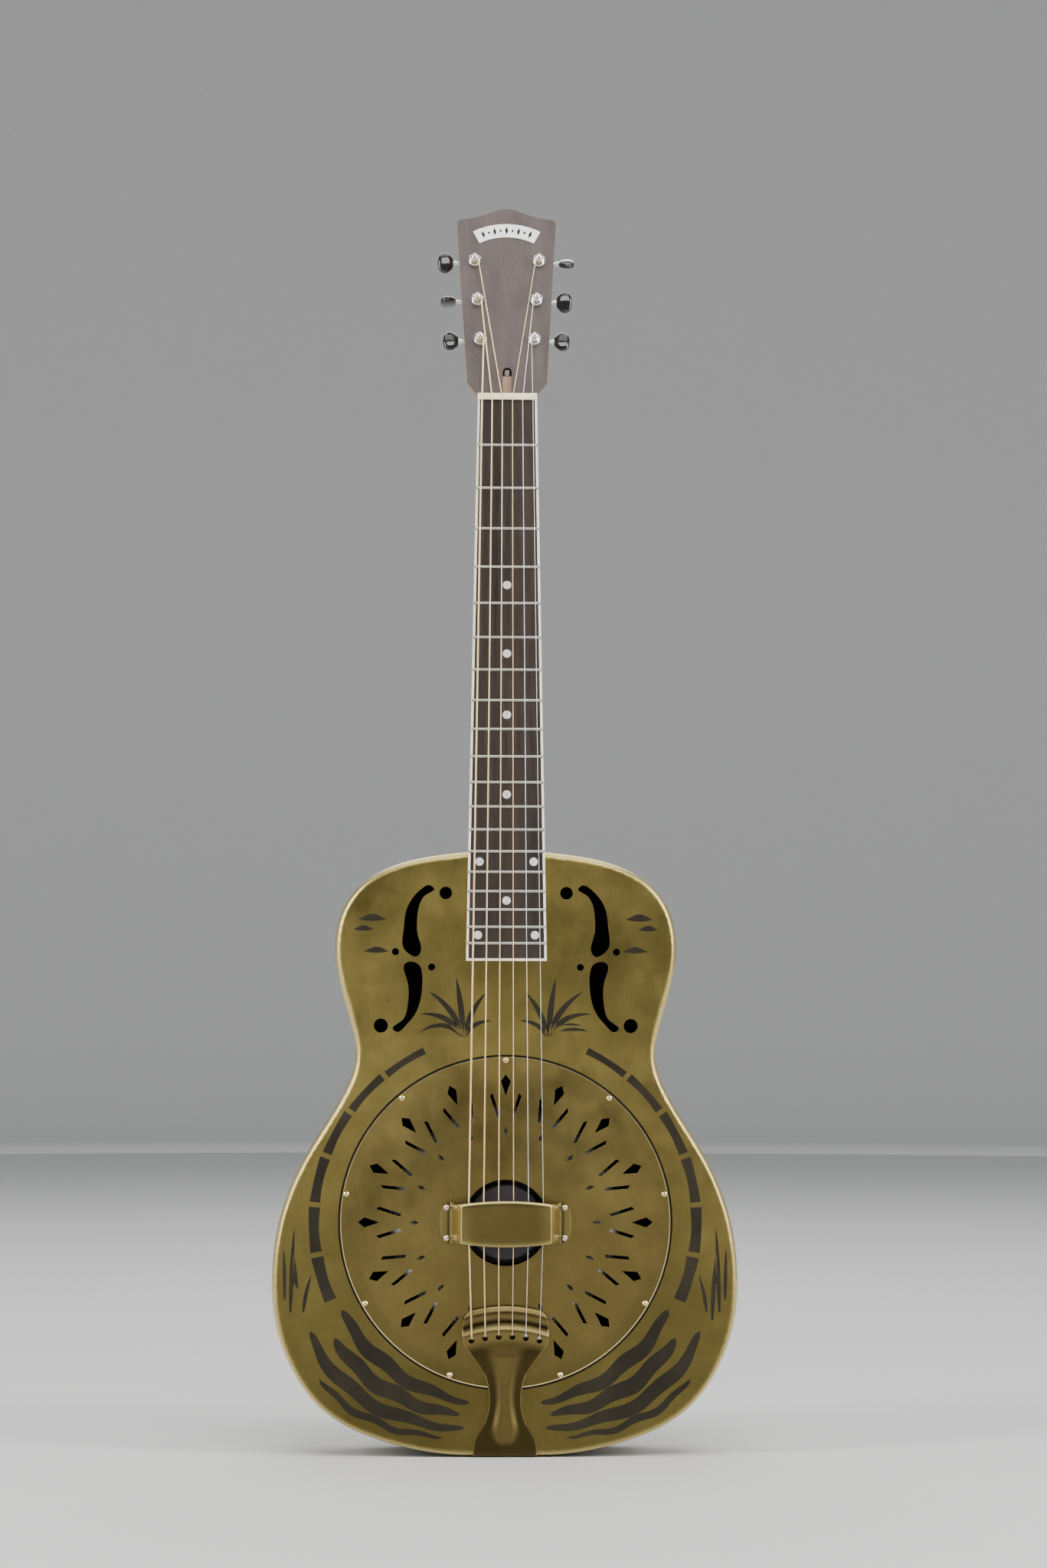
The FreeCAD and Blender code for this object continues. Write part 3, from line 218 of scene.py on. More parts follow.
def spread(tree, value, low, high, to_low=0.0, to_high=1.0):
    """Maps the range from low to high onto the range from to_low to to_high, held at its ends."""
    node = add(tree, "ShaderNodeMapRange", Value=value)
    for name, number in (("From Min", low), ("From Max", high), ("To Min", to_low), ("To Max", to_high)):
        node.inputs[name].default_value = number
    return node.outputs["Result"]


def mixed(tree, factor, first, second, blend="MIX"):
    """Blend of two colours, each a socket or three numbers."""
    node = add(tree, "ShaderNodeMix", {"data_type": "RGBA", "blend_type": blend})
    sockets = {s.identifier: s for s in node.inputs}
    for name, value in (("Factor_Float", factor), ("A_Color", first), ("B_Color", second)):
        if isinstance(value, bpy.types.NodeSocket):
            tree.links.new(value, sockets[name])
        elif name == "Factor_Float":
            sockets[name].default_value = value
        else:
            sockets[name].default_value = (*value, 1)
    return [s for s in node.outputs if s.identifier == "Result_Color"][0]


def product(tree, first, second):
    """Product of a socket and either a socket or a number."""
    node = add(tree, "ShaderNodeMath", {"operation": "MULTIPLY"})
    tree.links.new(first, node.inputs[0])
    if isinstance(second, bpy.types.NodeSocket):
        tree.links.new(second, node.inputs[1])
    else:
        node.inputs[1].default_value = second
    return node.outputs[0]


def weighted(tree, fine, weight, broad):
    """Broad pattern with a weighted share of a finer one added."""
    node = add(tree, "ShaderNodeMath", {"operation": "MULTIPLY_ADD"})
    tree.links.new(fine, node.inputs[0])
    node.inputs[1].default_value = weight
    tree.links.new(broad, node.inputs[2])
    return node.outputs[0]


def object_place(tree):
    """The point being shaded, in the object's own metres."""
    return add(tree, "ShaderNodeTexCoord").outputs["Object"]


def connect(tree, value, shader, name):
    """Links a value to one of the shader's sockets."""
    tree.links.new(value, shader.inputs[name])


def bump(tree, shader, height, strength, distance):
    """Fine relief, with its depth in metres."""
    node = add(tree, "ShaderNodeBump", Height=height, Strength=strength, Distance=distance)
    connect(tree, node.outputs["Normal"], shader, "Normal")


# near-black painted shade for brass deep inside the body
PAINTED_SHADE_INSIDE = (0.016, 0.012, 0.007)
# near-black painted shade for the cone outside and inside its middle band
PAINTED_SHADE_ALUMINIUM = (0.012, 0.011, 0.010)
WINDING = 0.35
WAVE_PERIOD = 0.314              # length of one band of the wave texture at scale 1


def edge_highlight_share(tree):
    """1 on rounded edges, 0 on the flat front, back and sides, from the mesh's own normal: the mask of the
    painted edge highlight.
    """
    normal = add(tree, "ShaderNodeTexCoord").outputs["Normal"]
    parts = add(tree, "ShaderNodeSeparateXYZ", Vector=normal)
    flat = add(tree, "ShaderNodeMath", {"operation": "ABSOLUTE"})
    tree.links.new(parts.outputs["Y"], flat.inputs[0])
    turned = spread(tree, flat.outputs[0], 0.985, 0.60)
    upright = spread(tree, flat.outputs[0], 0.04, 0.30)
    return product(tree, turned, upright)


def painted_shade_inside_share(tree):
    """1 on surfaces that look forwards from deep in the body, which show only through its holes; there the
    colour is painted near black as shade.
    """
    seen_from = add(tree, "ShaderNodeTexCoord")
    facing = add(tree, "ShaderNodeSeparateXYZ", Vector=seen_from.outputs["Normal"])
    place = add(tree, "ShaderNodeSeparateXYZ", Vector=seen_from.outputs["Object"])
    forwards = spread(tree, facing.outputs["Y"], -0.3, -0.6)
    deep = spread(tree, place.outputs["Y"], 0.005, 0.015)
    return product(tree, forwards, deep)


def brass(name, dark, light, bright, rough=(0.3, 0.42), grain=0.12, edge_highlight=0.75, shade=None):
    """Antiqued brass: cloudy tarnish, fine brushing one way, a painted highlight on rounded edges, painted
    shade darker towards the tail and near black deep inside the body.

    shade names a mesh attribute, of painted light and shade, that the colour is multiplied by.
    """
    material, tree, shader = start(name, Metallic=1.0)
    cloud = noise(tree, 11, detail=5)
    stain = noise(tree, 60, detail=3)
    hair = noise(tree, 2600, (1.0, 1.0, 0.03), detail=2)
    base = mixed(tree, spread(tree, weighted(tree, stain, 0.35, cloud), 0.40, 0.98), dark, light)
    hairs = mixed(tree, spread(tree, hair, 0.3, 0.7), [1 - grain] * 3, (1.0, 1.0, 1.0))
    base = mixed(tree, 1.0, base, hairs, "MULTIPLY")
    # painted shade: the colour is darker towards the tail, down to about half at 0.04 m
    place = add(tree, "ShaderNodeSeparateXYZ", Vector=object_place(tree))
    painted_shade_to_tail = spread(tree, place.outputs["Z"], 0.04, 0.30, 0.52, 1.0)
    base = mixed(tree, 1.0, base, painted_shade_to_tail, "MULTIPLY")
    # painted highlight: rounded edges turn towards the bright colour
    colour = mixed(tree, product(tree, edge_highlight_share(tree), edge_highlight), base, bright)
    # painted shade: near black on inner surfaces seen through the holes
    colour = mixed(tree, painted_shade_inside_share(tree), colour, PAINTED_SHADE_INSIDE)
    if shade:
        stored = add(tree, "ShaderNodeAttribute", {"attribute_name": shade})
        colour = mixed(tree, 1.0, colour, stored.outputs["Color"], "MULTIPLY")
    connect(tree, colour, shader, "Base Color")
    gloss = weighted(tree, stain, 0.5, cloud)
    connect(tree, spread(tree, gloss, 0.55, 0.95, *rough), shader, "Roughness")
    bump(tree, shader, hair, grain, 0.00006)
    return material


def metal(name, colour, rough):
    """Plain bright metal with faint smudges."""
    material, tree, shader = start(name, Metallic=1.0)
    smudge = noise(tree, 160, detail=4)
    fine = noise(tree, 3000, (1, 1, 0.2), detail=2)
    pale = mixed(tree, spread(tree, smudge, 0.3, 0.7), [0.86 * c for c in colour], colour)
    connect(tree, pale, shader, "Base Color")
    connect(tree, spread(tree, smudge, 0.3, 0.7, *rough), shader, "Roughness")
    bump(tree, shader, fine, 0.04, 0.00005)
    return material


def spun(name, colour):
    """Spun aluminium: rings about the cone's axis, bright only in the middle band and painted near black as
    shade on both sides.
    """
    material, tree, shader = start(name, Metallic=1.0)
    centred = add(tree, "ShaderNodeVectorMath", {"operation": "SUBTRACT"})
    tree.links.new(object_place(tree), centred.inputs[0])
    centred.inputs[1].default_value = (0, 0, PLATE_CENTRE_Z * MM)
    flat = add(tree, "ShaderNodeVectorMath", {"operation": "MULTIPLY"})
    tree.links.new(centred.outputs[0], flat.inputs[0])
    flat.inputs[1].default_value = (1, 0, 1)
    distance = add(tree, "ShaderNodeVectorMath", {"operation": "LENGTH"})
    tree.links.new(flat.outputs[0], distance.inputs[0])
    rings = add(tree, "ShaderNodeTexNoise", {"noise_dimensions": "1D"}, Scale=900.0, Detail=3.0)
    tree.links.new(distance.outputs["Value"], rings.inputs["W"])
    ring = rings.outputs["Fac"]
    bright = mixed(tree, ring, [0.75 * c for c in colour], colour)
    radius = distance.outputs["Value"]
    # painted shade: near black outside the middle band and round the centre
    base = mixed(tree, spread(tree, radius, 0.080, 0.092), bright, PAINTED_SHADE_ALUMINIUM)
    base = mixed(tree, spread(tree, radius, 0.045, 0.038), base, PAINTED_SHADE_ALUMINIUM)
    connect(tree, base, shader, "Base Color")
    connect(tree, spread(tree, ring, 0.3, 0.7, 0.18, 0.34), shader, "Roughness")
    bump(tree, shader, ring, 0.2, 0.0001)
    return material


def wood(name, dark, light, rough=(0.4, 0.55), figure=90, pores=0.6, coat=0.0):
    """Wood with its grain along Z: broad figure, fine streaks and short dark pores."""
    material, tree, shader = start(name, Coat_Weight=coat, Coat_Roughness=0.25)
    broad = noise(tree, figure, (1, 1, 0.05), detail=4)
    streak = noise(tree, 1100, (1, 1, 0.02), detail=3)
    pore = noise(tree, 2400, (1, 1, 0.035), detail=2)
    base = mixed(tree, spread(tree, weighted(tree, streak, 0.6, broad), 0.55, 1.05), dark, light)
    dots = spread(tree, pore, 0.62, 0.7, 0.0, pores)
    connect(tree, mixed(tree, dots, base, [0.35 * c for c in dark]), shader, "Base Color")
    connect(tree, spread(tree, streak, 0.3, 0.7, *rough), shader, "Roughness")
    bump(tree, shader, pore, 0.15, 0.0001)
    return material


def plastic(name, colour, rough=(0.18, 0.3), coat=0.0):
    """Celluloid, bone or lacquered plastic with a slight mottle."""
    material, tree, shader = start(name, Coat_Weight=coat, Coat_Roughness=0.08)
    mottle = noise(tree, 140, (1, 1, 0.3), detail=4)
    base = mixed(tree, spread(tree, mottle, 0.3, 0.7), [0.88 * c for c in colour], colour)
    connect(tree, base, shader, "Base Color")
    connect(tree, spread(tree, mottle, 0.3, 0.7, *rough), shader, "Roughness")
    bump(tree, shader, mottle, 0.03, 0.0001)
    return material


def pearl(name):
    """Pearl inlay: cloudy grey with pale layers."""
    material, tree, shader = start(name, Coat_Weight=0.6, Coat_Roughness=0.1)
    layer = noise(tree, 420, (1, 1, 0.5), detail=6, roughness=0.7)
    base = mixed(tree, spread(tree, layer, 0.35, 0.65), (0.50, 0.51, 0.53), (0.80, 0.81, 0.80))
    connect(tree, base, shader, "Base Color")
    connect(tree, spread(tree, layer, 0.3, 0.7, 0.2, 0.4), shader, "Roughness")
    return material


def wound(name, colour):
    """Wound string: fine turns along its length, WINDING apart; darker between the turns as painted shade in
    the grooves.
    """
    material, tree, shader = start(name, Metallic=1.0)
    wave = add(tree, "ShaderNodeTexWave", {"bands_direction": "Z"}, Vector=object_place(tree),
               Scale=WAVE_PERIOD / (WINDING * MM), Distortion=0.0)
    turns = wave.outputs["Fac"]
    # painted shade: the colour is darker in the grooves between turns
    connect(tree, mixed(tree, turns, [0.6 * c for c in colour], colour), shader, "Base Color")
    connect(tree, spread(tree, noise(tree, 300), 0.3, 0.7, 0.38, 0.48), shader, "Roughness")
    bump(tree, shader, turns, 0.3, 0.00004)
    return material


def etched(name):
    """Etched and blackened brass: dull grey-brown with a fine sandy grain."""
    material, tree, shader = start(name, Metallic=0.3, Specular_IOR_Level=0.2)
    cloud = noise(tree, 24, detail=5)
    sand = noise(tree, 1800, detail=3, roughness=0.7)
    base = mixed(tree, spread(tree, cloud, 0.35, 0.7), (0.018, 0.015, 0.009), (0.036, 0.030, 0.018))
    grain = mixed(tree, spread(tree, sand, 0.3, 0.7), (0.75, 0.75, 0.75), (1, 1, 1))
    connect(tree, mixed(tree, 1.0, base, grain, "MULTIPLY"), shader, "Base Color")
    connect(tree, spread(tree, sand, 0.3, 0.7, 0.5, 0.66), shader, "Roughness")
    bump(tree, shader, sand, 0.25, 0.00008)
    return material


def studio_paper(name):
    """Matt pale grey paper."""
    material, tree, shader = start(name, Specular_IOR_Level=0.2)
    tooth = noise(tree, 90, detail=4)
    connect(tree, mixed(tree, tooth, (0.56, 0.56, 0.56), (0.60, 0.60, 0.595)), shader, "Base Color")
    connect(tree, spread(tree, tooth, 0.3, 0.7, 0.8, 0.95), shader, "Roughness")
    return material


MATERIALS = {
    "antique_brass": brass("antique_brass", (0.210, 0.162, 0.047), (0.370, 0.292, 0.090), (0.84, 0.69, 0.30)),
    "plate_brass": brass("plate_brass", (0.200, 0.150, 0.047), (0.350, 0.270, 0.090), (0.80, 0.64, 0.28)),
    "rest_brass": brass("rest_brass", (0.25, 0.190, 0.060), (0.34, 0.265, 0.090), (0.85, 0.70, 0.33),
                        rough=(0.32, 0.38), grain=0.03),
    "rest_shaded": brass("rest_shaded", (0.27, 0.205, 0.066), (0.38, 0.298, 0.102), (0.90, 0.74, 0.36),
                         rough=(0.28, 0.34), grain=0.03, edge_highlight=0.6, shade="painted_light"),
    "dark_brass": brass("dark_brass", (0.115, 0.080, 0.026), (0.26, 0.190, 0.062), (0.75, 0.60, 0.26),
                        rough=(0.2, 0.3), grain=0.04, edge_highlight=0.3),
    "tail_brass": brass("tail_brass", (0.24, 0.175, 0.058), (0.36, 0.275, 0.095), (0.80, 0.64, 0.29),
                        rough=(0.34, 0.42), grain=0.04, edge_highlight=0.2, shade="painted_light"),
    # plain_brass is coloured dark as painted shade for the brass inside the body
    "plain_brass": metal("plain_brass", (0.10, 0.075, 0.035), (0.35, 0.5)),
    "bright_brass": metal("bright_brass", (0.82, 0.66, 0.32), (0.12, 0.2)),
    "gear_brass": metal("gear_brass", (0.78, 0.62, 0.30), (0.2, 0.3)),
    "spun_aluminium": spun("spun_aluminium", (0.86, 0.87, 0.88)),
    "biscuit_wood": wood("biscuit_wood", (0.012, 0.009, 0.010), (0.034, 0.027, 0.030)),
    "saddle_wood": wood("saddle_wood", (0.42, 0.28, 0.15), (0.62, 0.47, 0.30)),
    "stick_wood": wood("stick_wood", (0.45, 0.31, 0.17), (0.60, 0.44, 0.27)),
    "neck_wood": wood("neck_wood", (0.17, 0.068, 0.022), (0.38, 0.19, 0.070), (0.28, 0.38), coat=0.3),
    "headstock_veneer": wood("headstock_veneer", (0.040, 0.026, 0.022), (0.085, 0.060, 0.052), (0.40, 0.52),
                             pores=0.35),
    "board_wood": wood("board_wood", (0.010, 0.006, 0.004), (0.040, 0.024, 0.015), (0.42, 0.55), figure=60),
    "binding_ivory": plastic("binding_ivory", (0.98, 0.95, 0.76), coat=0.1),
    "badge_white": plastic("badge_white", (0.86, 0.86, 0.84), coat=0.5),
    "pearl": pearl("pearl"),
    "bone": plastic("bone", (0.92, 0.84, 0.58), (0.25, 0.35)),
    "fret_wire": metal("fret_wire", (0.50, 0.48, 0.43), (0.25, 0.35)),
    "nickel": metal("nickel", (0.78, 0.76, 0.71), (0.08, 0.16)),
    "steel": metal("steel", (0.55, 0.55, 0.56), (0.25, 0.35)),
    "string_steel": metal("string_steel", (0.95, 0.95, 0.94), (0.4, 0.5)),
    "string_bronze": wound("string_bronze", (0.95, 0.72, 0.44)),
    "button_black": plastic("button_black", (0.010, 0.010, 0.012), (0.06, 0.12), coat=0.6),
    "etched": etched("etched_brass"),
}


def dress_cad_nodes():
    """Gives every CAD node the procedural material of its slot in the record."""
    for part in frame["record"]["subparts"]:
        node = frame["nodes"][part["node"]]
        node.data.materials.clear()
        node.data.materials.append(MATERIALS[part["material_slot"]])


def grid_sheet(name, rows, thickness):
    """Sheet through rows of (vertex, shade) pairs, thickened away from the front; all rows are as long."""
    vertices = [vertex for row in rows for vertex, _ in row]
    shades = [shade for row in rows for _, shade in row]
    wide = len(rows[0])
    faces = []
    for r in range(len(rows) - 1):
        for c in range(wide - 1):
            a = r * wide + c
            faces.append((a, a + 1, a + wide + 1, a + wide))
    sheet = mesh_object(name, vertices, faces)
    # the stored values are painted light and shade that the material multiplies the colour by
    stored = sheet.data.attributes.new("painted_light", "FLOAT_COLOR", "POINT")
    stored.data.foreach_set("color", [c for value in shades for c in (value, value, value, 1.0)])
    solid = sheet.modifiers.new("sheet", "SOLIDIFY")
    solid.thickness = thickness * MM
    solid.offset = -1.0 if faces_front(sheet) else 1.0
    solid.use_even_offset = True
    return sheet


def faces_front(thing):
    """Whether most of the sheet's area faces the front."""
    return sum(face.normal.y * face.area for face in thing.data.polygons) < 0


def mend_normals(mesh, gap=0.0):
    """Joins vertices closer than a gap in metres, if it is given, and turns the faces outwards."""
    shape = bmesh.new()
    shape.from_mesh(mesh)
    if gap:
        bmesh.ops.remove_doubles(shape, verts=shape.verts, dist=gap)
    bmesh.ops.recalc_face_normals(shape, faces=shape.faces)
    shape.to_mesh(mesh)
    shape.free()


# ---- handrest -------------------------------------------------------------------------------------
REST_HALF = 51.0
REST_TOP_Y = -68.0
REST_EAR_Y = -48.2
REST_SHEET = 1.4
REST_SHOULDER = 3.4              # width of the rounded shoulder along the top's edge
REST_SHOULDER_DROP = 2.0
REST_EAR_START = 40.6            # half the length of the top, where the ears begin
REST_MIDDLE_HIGH = 17.85
REST_END_HIGH = 14.4
REST_EAR_HIGH = 16.0


def rest_height(x):
    """Half of the handrest's height: barrel-shaped top, then an ear with a rounded end."""
    out = abs(x)
    if out < REST_EAR_START:
        return REST_MIDDLE_HIGH - (REST_MIDDLE_HIGH - REST_END_HIGH) * (x / REST_EAR_START) ** 2
    share = min(1.0, (out - REST_EAR_START) / (REST_HALF - REST_EAR_START))
    if share < 0.17:
        return REST_END_HIGH + (REST_EAR_HIGH - REST_END_HIGH) * smoothstep(REST_EAR_START, 42.4, out)
    return REST_EAR_HIGH * (1 - share ** 3.6) ** (1 / 2.6)


def make_handrest():
    """Pressed cover with soft shoulders all round and two screwed ears."""
    tip = [48.6, 49.2, 50.0, 50.6, REST_HALF - 0.02]
    columns = [-x for x in reversed(tip)] + [0.5 * k for k in range(-96, 97)] + tip
    lines = 30
    rows = []
    for x in columns:
        high = rest_height(x)
        top = 1 - smoothstep(34.0, 43.4, abs(x))
        row = []
        for k in range(lines + 1):
            z = high * math.sin(math.pi / 2 * (2 * k / lines - 1))
            edge = max(0.0, (abs(z) - (high - REST_SHOULDER)) / REST_SHOULDER)
            drop = REST_SHOULDER_DROP * (1 - math.sqrt(max(0.0, 1 - edge * edge))) * top
            y = REST_EAR_Y + (REST_TOP_Y - REST_EAR_Y) * top + drop
            row.append(((x, y, PLATE_CENTRE_Z + z), rest_painted_light(abs(x), edge, top)))
        rows.append(row)
    rest = grid_sheet("handrest_shell", rows, REST_SHEET)
    apply_modifiers(rest)
    add_bevel(rest, 0.3, 50, 60)
    finish_piece(rest, "guitar", "rest_brass", MATERIALS["rest_shaded"], "handrest")


def rest_painted_light(x, edge, top):
    """Painted light and shade on the handrest at x from its middle: painted highlights on the shoulders and
    the ear tips, painted shade in the middle and a dark painted shade in the fold by the ear.
    """
    middle = 0.66 + 0.34 * smoothstep(22, 36, x) + 0.30 * smoothstep(0.0, 0.7, edge) * top
    fold = (1 - smoothstep(0.8, 2.6, abs(x - 43.8))) * (1 - top)
    ear = 1.0 + 0.35 * smoothstep(48.5, 50.5, x)
    return (middle if x < 41 else ear) * (1 - 0.6 * fold)


# ---- tailpiece ------------------------------------------------------------------------------------
# TAIL_LINE is the section of the sheet as (y, z); the other tables are read by height.
TAIL_LINE = [(14.0, 0.0), (-20.0, 0.0), (-34.9, 0.0), (-38.6, 1.0), (-41.2, 3.6), (-42.2, 7.2), (-42.4, 16.0),
             (-43.4, 40.0), (-45.6, 62.0), (-48.0, 78.0), (-49.6, 87.0), (-51.4, 93.6), (-52.4, 98.6),
             (-50.6, 102.4), (-48.8, 105.2), (-50.4, 108.2), (-52.3, 111.0), (-52.3, 113.6), (-50.2, 117.4)]
TAIL_HALF = smooth_line([(-20.0, 24.6), (6.0, 24.6), (15.0, 22.6), (24.3, 17.3), (35.2, 13.5), (45.0, 12.5),
                         (57.6, 13.9), (67.0, 17.5), (75.5, 22.4), (85.0, 27.6), (92.5, 32.2), (97.8, 33.3),
                         (109.8, 33.3), (115.8, 30.4), (118.0, 24.5)], 8)
RIDGE_HALF = smooth_line([(9.5, 4.0), (13.0, 9.4), (21.0, 12.4), (33.0, 9.6), (45.0, 8.0), (60.0, 9.6),
                          (72.0, 13.4), (82.0, 18.5), (92.0, 27.0)], 8)
RIDGE_HEIGHT = smooth_line([(9.0, 0.0), (11.5, 1.6), (14.5, 2.6), (22.0, 2.8), (70.0, 2.7), (82.0, 1.4),
                            (91.0, 0.3)], 8)
TAIL_ARCH = 0.0050               # how far the top bows down, per square of the distance from the middle
TAIL_FRONT_Y = -39.0             # the sheet is in front of the body where it is before this
# painted light and shade across the wave, by height
WAVE_SHADE = smooth_line([(78.0, 0.85), (88.0, 0.6), (93.0, 1.0), (99.5, 1.0), (102.5, 0.5), (105.2, 0.08),
                          (107.0, 0.4), (109.0, 1.0), (112.0, 0.6), (116.6, 0.55), (117.4, 1.2)], 4)


def make_tailpiece():
    """Bent sheet from the tab under the tail to the wave at the top, with its raised middle ridge."""
    columns = 56
    rows = []
    for y, z in smooth_line(TAIL_LINE):
        front = y < TAIL_FRONT_Y
        half = along(TAIL_HALF, z if front else TAIL_HALF[0][0])
        arch = TAIL_ARCH * smoothstep(66, 88, z) if front else 0.0
        row = []
        for c in range(columns + 1):
            x = half * (2 * c / columns - 1)
            lift = 0.0
            if front and z > RIDGE_HEIGHT[0][0]:
                side = abs(x) / along(RIDGE_HALF, z)
                lift = along(RIDGE_HEIGHT, z) * (1 - smoothstep(0.35, 1.0, side))
            # painted shade: 0.6 on the tab behind the tail
            shade = tail_painted_light(x, z, half) if front else 0.6
            row.append(((x, y - lift, max(0.0, z - arch * x * x)), shade))
        rows.append(row)
    shell = grid_sheet("tailpiece_shell", rows, TAIL_SHEET)
    cutters = make_keyhole_cutters()
    holes = shell.modifiers.new("holes", "BOOLEAN")
    holes.operation = "DIFFERENCE"
    holes.solver = "EXACT"
    holes.object = cutters
    apply_modifiers(shell)
    bpy.data.objects.remove(cutters)
    add_bevel(shell, 0.3, 50, 60)
    finish_piece(shell, "guitar", "dark_brass", MATERIALS["tail_brass"], "tailpiece")


def tail_painted_light(x, z, half):
    """Painted light and shade on the tailpiece: painted shade beside the ridge, at the foot and in the wave's
    valley, a painted highlight along its outline.
    """
    side = abs(x) / along(RIDGE_HALF, z)
    beside = smoothstep(0.25, 0.95, side) * (1 - smoothstep(84, 90, z))
    foot = 1 - smoothstep(9, 15, z)
    shade = along(WAVE_SHADE, z) * (1 - 0.60 * max(beside, foot))
    return max(shade, 1.5) if abs(x) > half - 0.6 else shade


def make_keyhole_cutters():
    """Six keyholes in one object: a round hole with a short narrow slot above it."""
    radius, slot_half, slot_top = 2.25, 0.85, 5.4
    opening = math.degrees(math.asin(slot_half / radius))
    outline = [(slot_half, slot_top), (-slot_half, slot_top)]
    arc = 24
    for k in range(arc + 1):
        turn = math.radians(90 + opening + (360 - 2 * opening) * k / arc)
        outline.append((radius * math.cos(turn), radius * math.sin(turn)))
    count = len(outline)
    vertices, faces = [], []
    for i in range(6):
        x = (i - 2.5) * KEYHOLE_SPACING
        z = KEYHOLE_Z - KEYHOLE_ARCH * x * x
        base = len(vertices)
        for depth in (-60.0, -40.0):
            vertices += [(x + dx, depth, z + dz) for dx, dz in outline]
        faces.append(tuple(base + k for k in range(count)))
        faces.append(tuple(base + count + k for k in reversed(range(count))))
        for k in range(count):
            nxt = (k + 1) % count
            faces.append((base + nxt, base + k, base + count + k, base + count + nxt))
    cutters = mesh_object("keyholes", vertices, faces, smooth=False)
    mend_normals(cutters.data)
    return cutters


# ---- etched pictures on the top -------------------------------------------------------------------
def flat_piece(name, loops, front, back, matrix=None):
    """Thin flat piece from closed (x, z) outlines in millimetres, standing between two depths."""
    curve = bpy.data.curves.new(name, "CURVE")
    curve.dimensions = "2D"
    curve.fill_mode = "BOTH"
    curve.extrude = abs(back - front) / 2 * MM
    for loop in loops:
        line = curve.splines.new("POLY")
        line.points.add(len(loop) - 1)
        for point, (x, z) in zip(line.points, loop):
            point.co = (x * MM, z * MM, 0, 1)
        line.use_cyclic_u = True
    drawn = bpy.data.objects.new(name, curve)
    bpy.context.scene.collection.objects.link(drawn)
    mesh = evaluated_mesh(drawn)
    bpy.data.objects.remove(drawn)
    place = Matrix.Translation((0, (front + back) / 2, 0)) @ turn_x(90)
    if matrix is not None:
        place = matrix @ place
    place.translation *= MM
    mesh.transform(place)
    thing = bpy.data.objects.new(name, mesh)
    bpy.context.scene.collection.objects.link(thing)
    return thing


def polar(radius, angle):
    """Point round the coverplate's centre; the angle is in degrees from +X towards +Z."""
    turn = math.radians(angle)
    return (radius * math.cos(turn), PLATE_CENTRE_Z + radius * math.sin(turn))


def ring_band(start_angle, end_angle, inner, outer):
    """Closed outline of a piece of a ring; inner and outer are functions of the share along it."""
    count = max(4, round(abs(end_angle - start_angle) / 1.2))
    shares = [i / count for i in range(count + 1)]
    there = [polar(inner(s), start_angle + (end_angle - start_angle) * s) for s in shares]
    back = [polar(outer(s), start_angle + (end_angle - start_angle) * s) for s in reversed(shares)]
    return there + back


def mirrored(loop):
    """The same outline on the bass side."""
    return [(-x, z) for x, z in loop]


def stalk_loops():
    """Jointed reed stalk that bends round the coverplate, thinner towards its top."""
    loops = []
    step, gap, pieces = 15.0, 1.5, 6
    for i in range(pieces):
        first = -24 + i * step
        middle = 147.5 + 1.2 * math.cos(math.radians(first * 2))

        def waist(share, half=4.9 - 0.42 * i):
            return half * (1 - 0.12 * math.sin(math.pi * share))
        loops.append(ring_band(first, first + step - gap, lambda s: middle - waist(s),
                               lambda s: middle + waist(s)))
    return loops


def body_reach(angle):
    """Distance from the coverplate's centre to the body's lower edge, by the angle from straight down."""
    nearest, farther, far_angle = 180.5, 22.0, 48.0
    return nearest + farther * math.sin(math.radians(90 * angle / far_angle)) ** 2


def ripple_loops():
    """Long calm ripples of water between the plate and the body's lower edge."""
    loops = []
    spans = ((11, 62, 0.0, 0.23), (13, 56, 0.29, 0.54), (11, 61, 0.60, 0.82), (16, 50, 0.88, 1.0))
    for number, (low, high, near, far) in enumerate(spans):
        def edge(share, level, low=low, high=high, middle=(near + far) / 2, phase=number * 1.9):
            inside, outside = 138.0, body_reach(low + (high - low) * share) - 11.0
            taper = math.sin(math.pi * share) ** 0.35
            wave = 1.5 * math.sin(6 * math.pi * share + phase + 2 * level) * taper
            return inside + (outside - inside) * (middle + (level - middle) * taper) + wave
        loops.append(ring_band(-90 + low, -90 + high, lambda s: edge(s, near), lambda s: edge(s, far)))
    return loops


def blade(x, z, length, lean, width):
    """Slender curved leaf from its foot, leaning by degrees from upright."""
    count = 9
    left, right = [], []
    for i in range(count + 1):
        t = i / count
        turn = math.radians(lean * (0.45 + 0.75 * t))
        px = x + length * t * math.sin(turn)
        pz = z + length * t * math.cos(turn)
        half = 0.5 * width * math.sin(math.pi * (0.12 + 0.88 * t)) ** 0.8
        left.append((px - half * math.cos(turn), pz + half * math.sin(turn)))
        right.append((px + half * math.cos(turn), pz - half * math.sin(turn)))
    return left + right[::-1]


def tuft_loops():
    """Fan of leaves above the coverplate, between the openings and the fingerboard's end."""
    leaves = ((-50, 24, 3.6), (-22, 38, 4.2), (6, 46, 4.6), (31, 44, 4.6), (52, 37, 4.4), (72, 33, 4.0))
    return [blade(33.0 + lean * 0.03, 326.0, length, lean, width) for lean, length, width in leaves]


def reed_loops():
    """Standing reeds near the body's lower sides."""
    reeds = ((161.0, 106, 52, 3, 3.4), (166.5, 112, 66, -2, 3.4), (171.0, 122, 40, 1, 2.8),
             (156.5, 112, 30, -10, 2.8))
    return [blade(*reed) for reed in reeds]


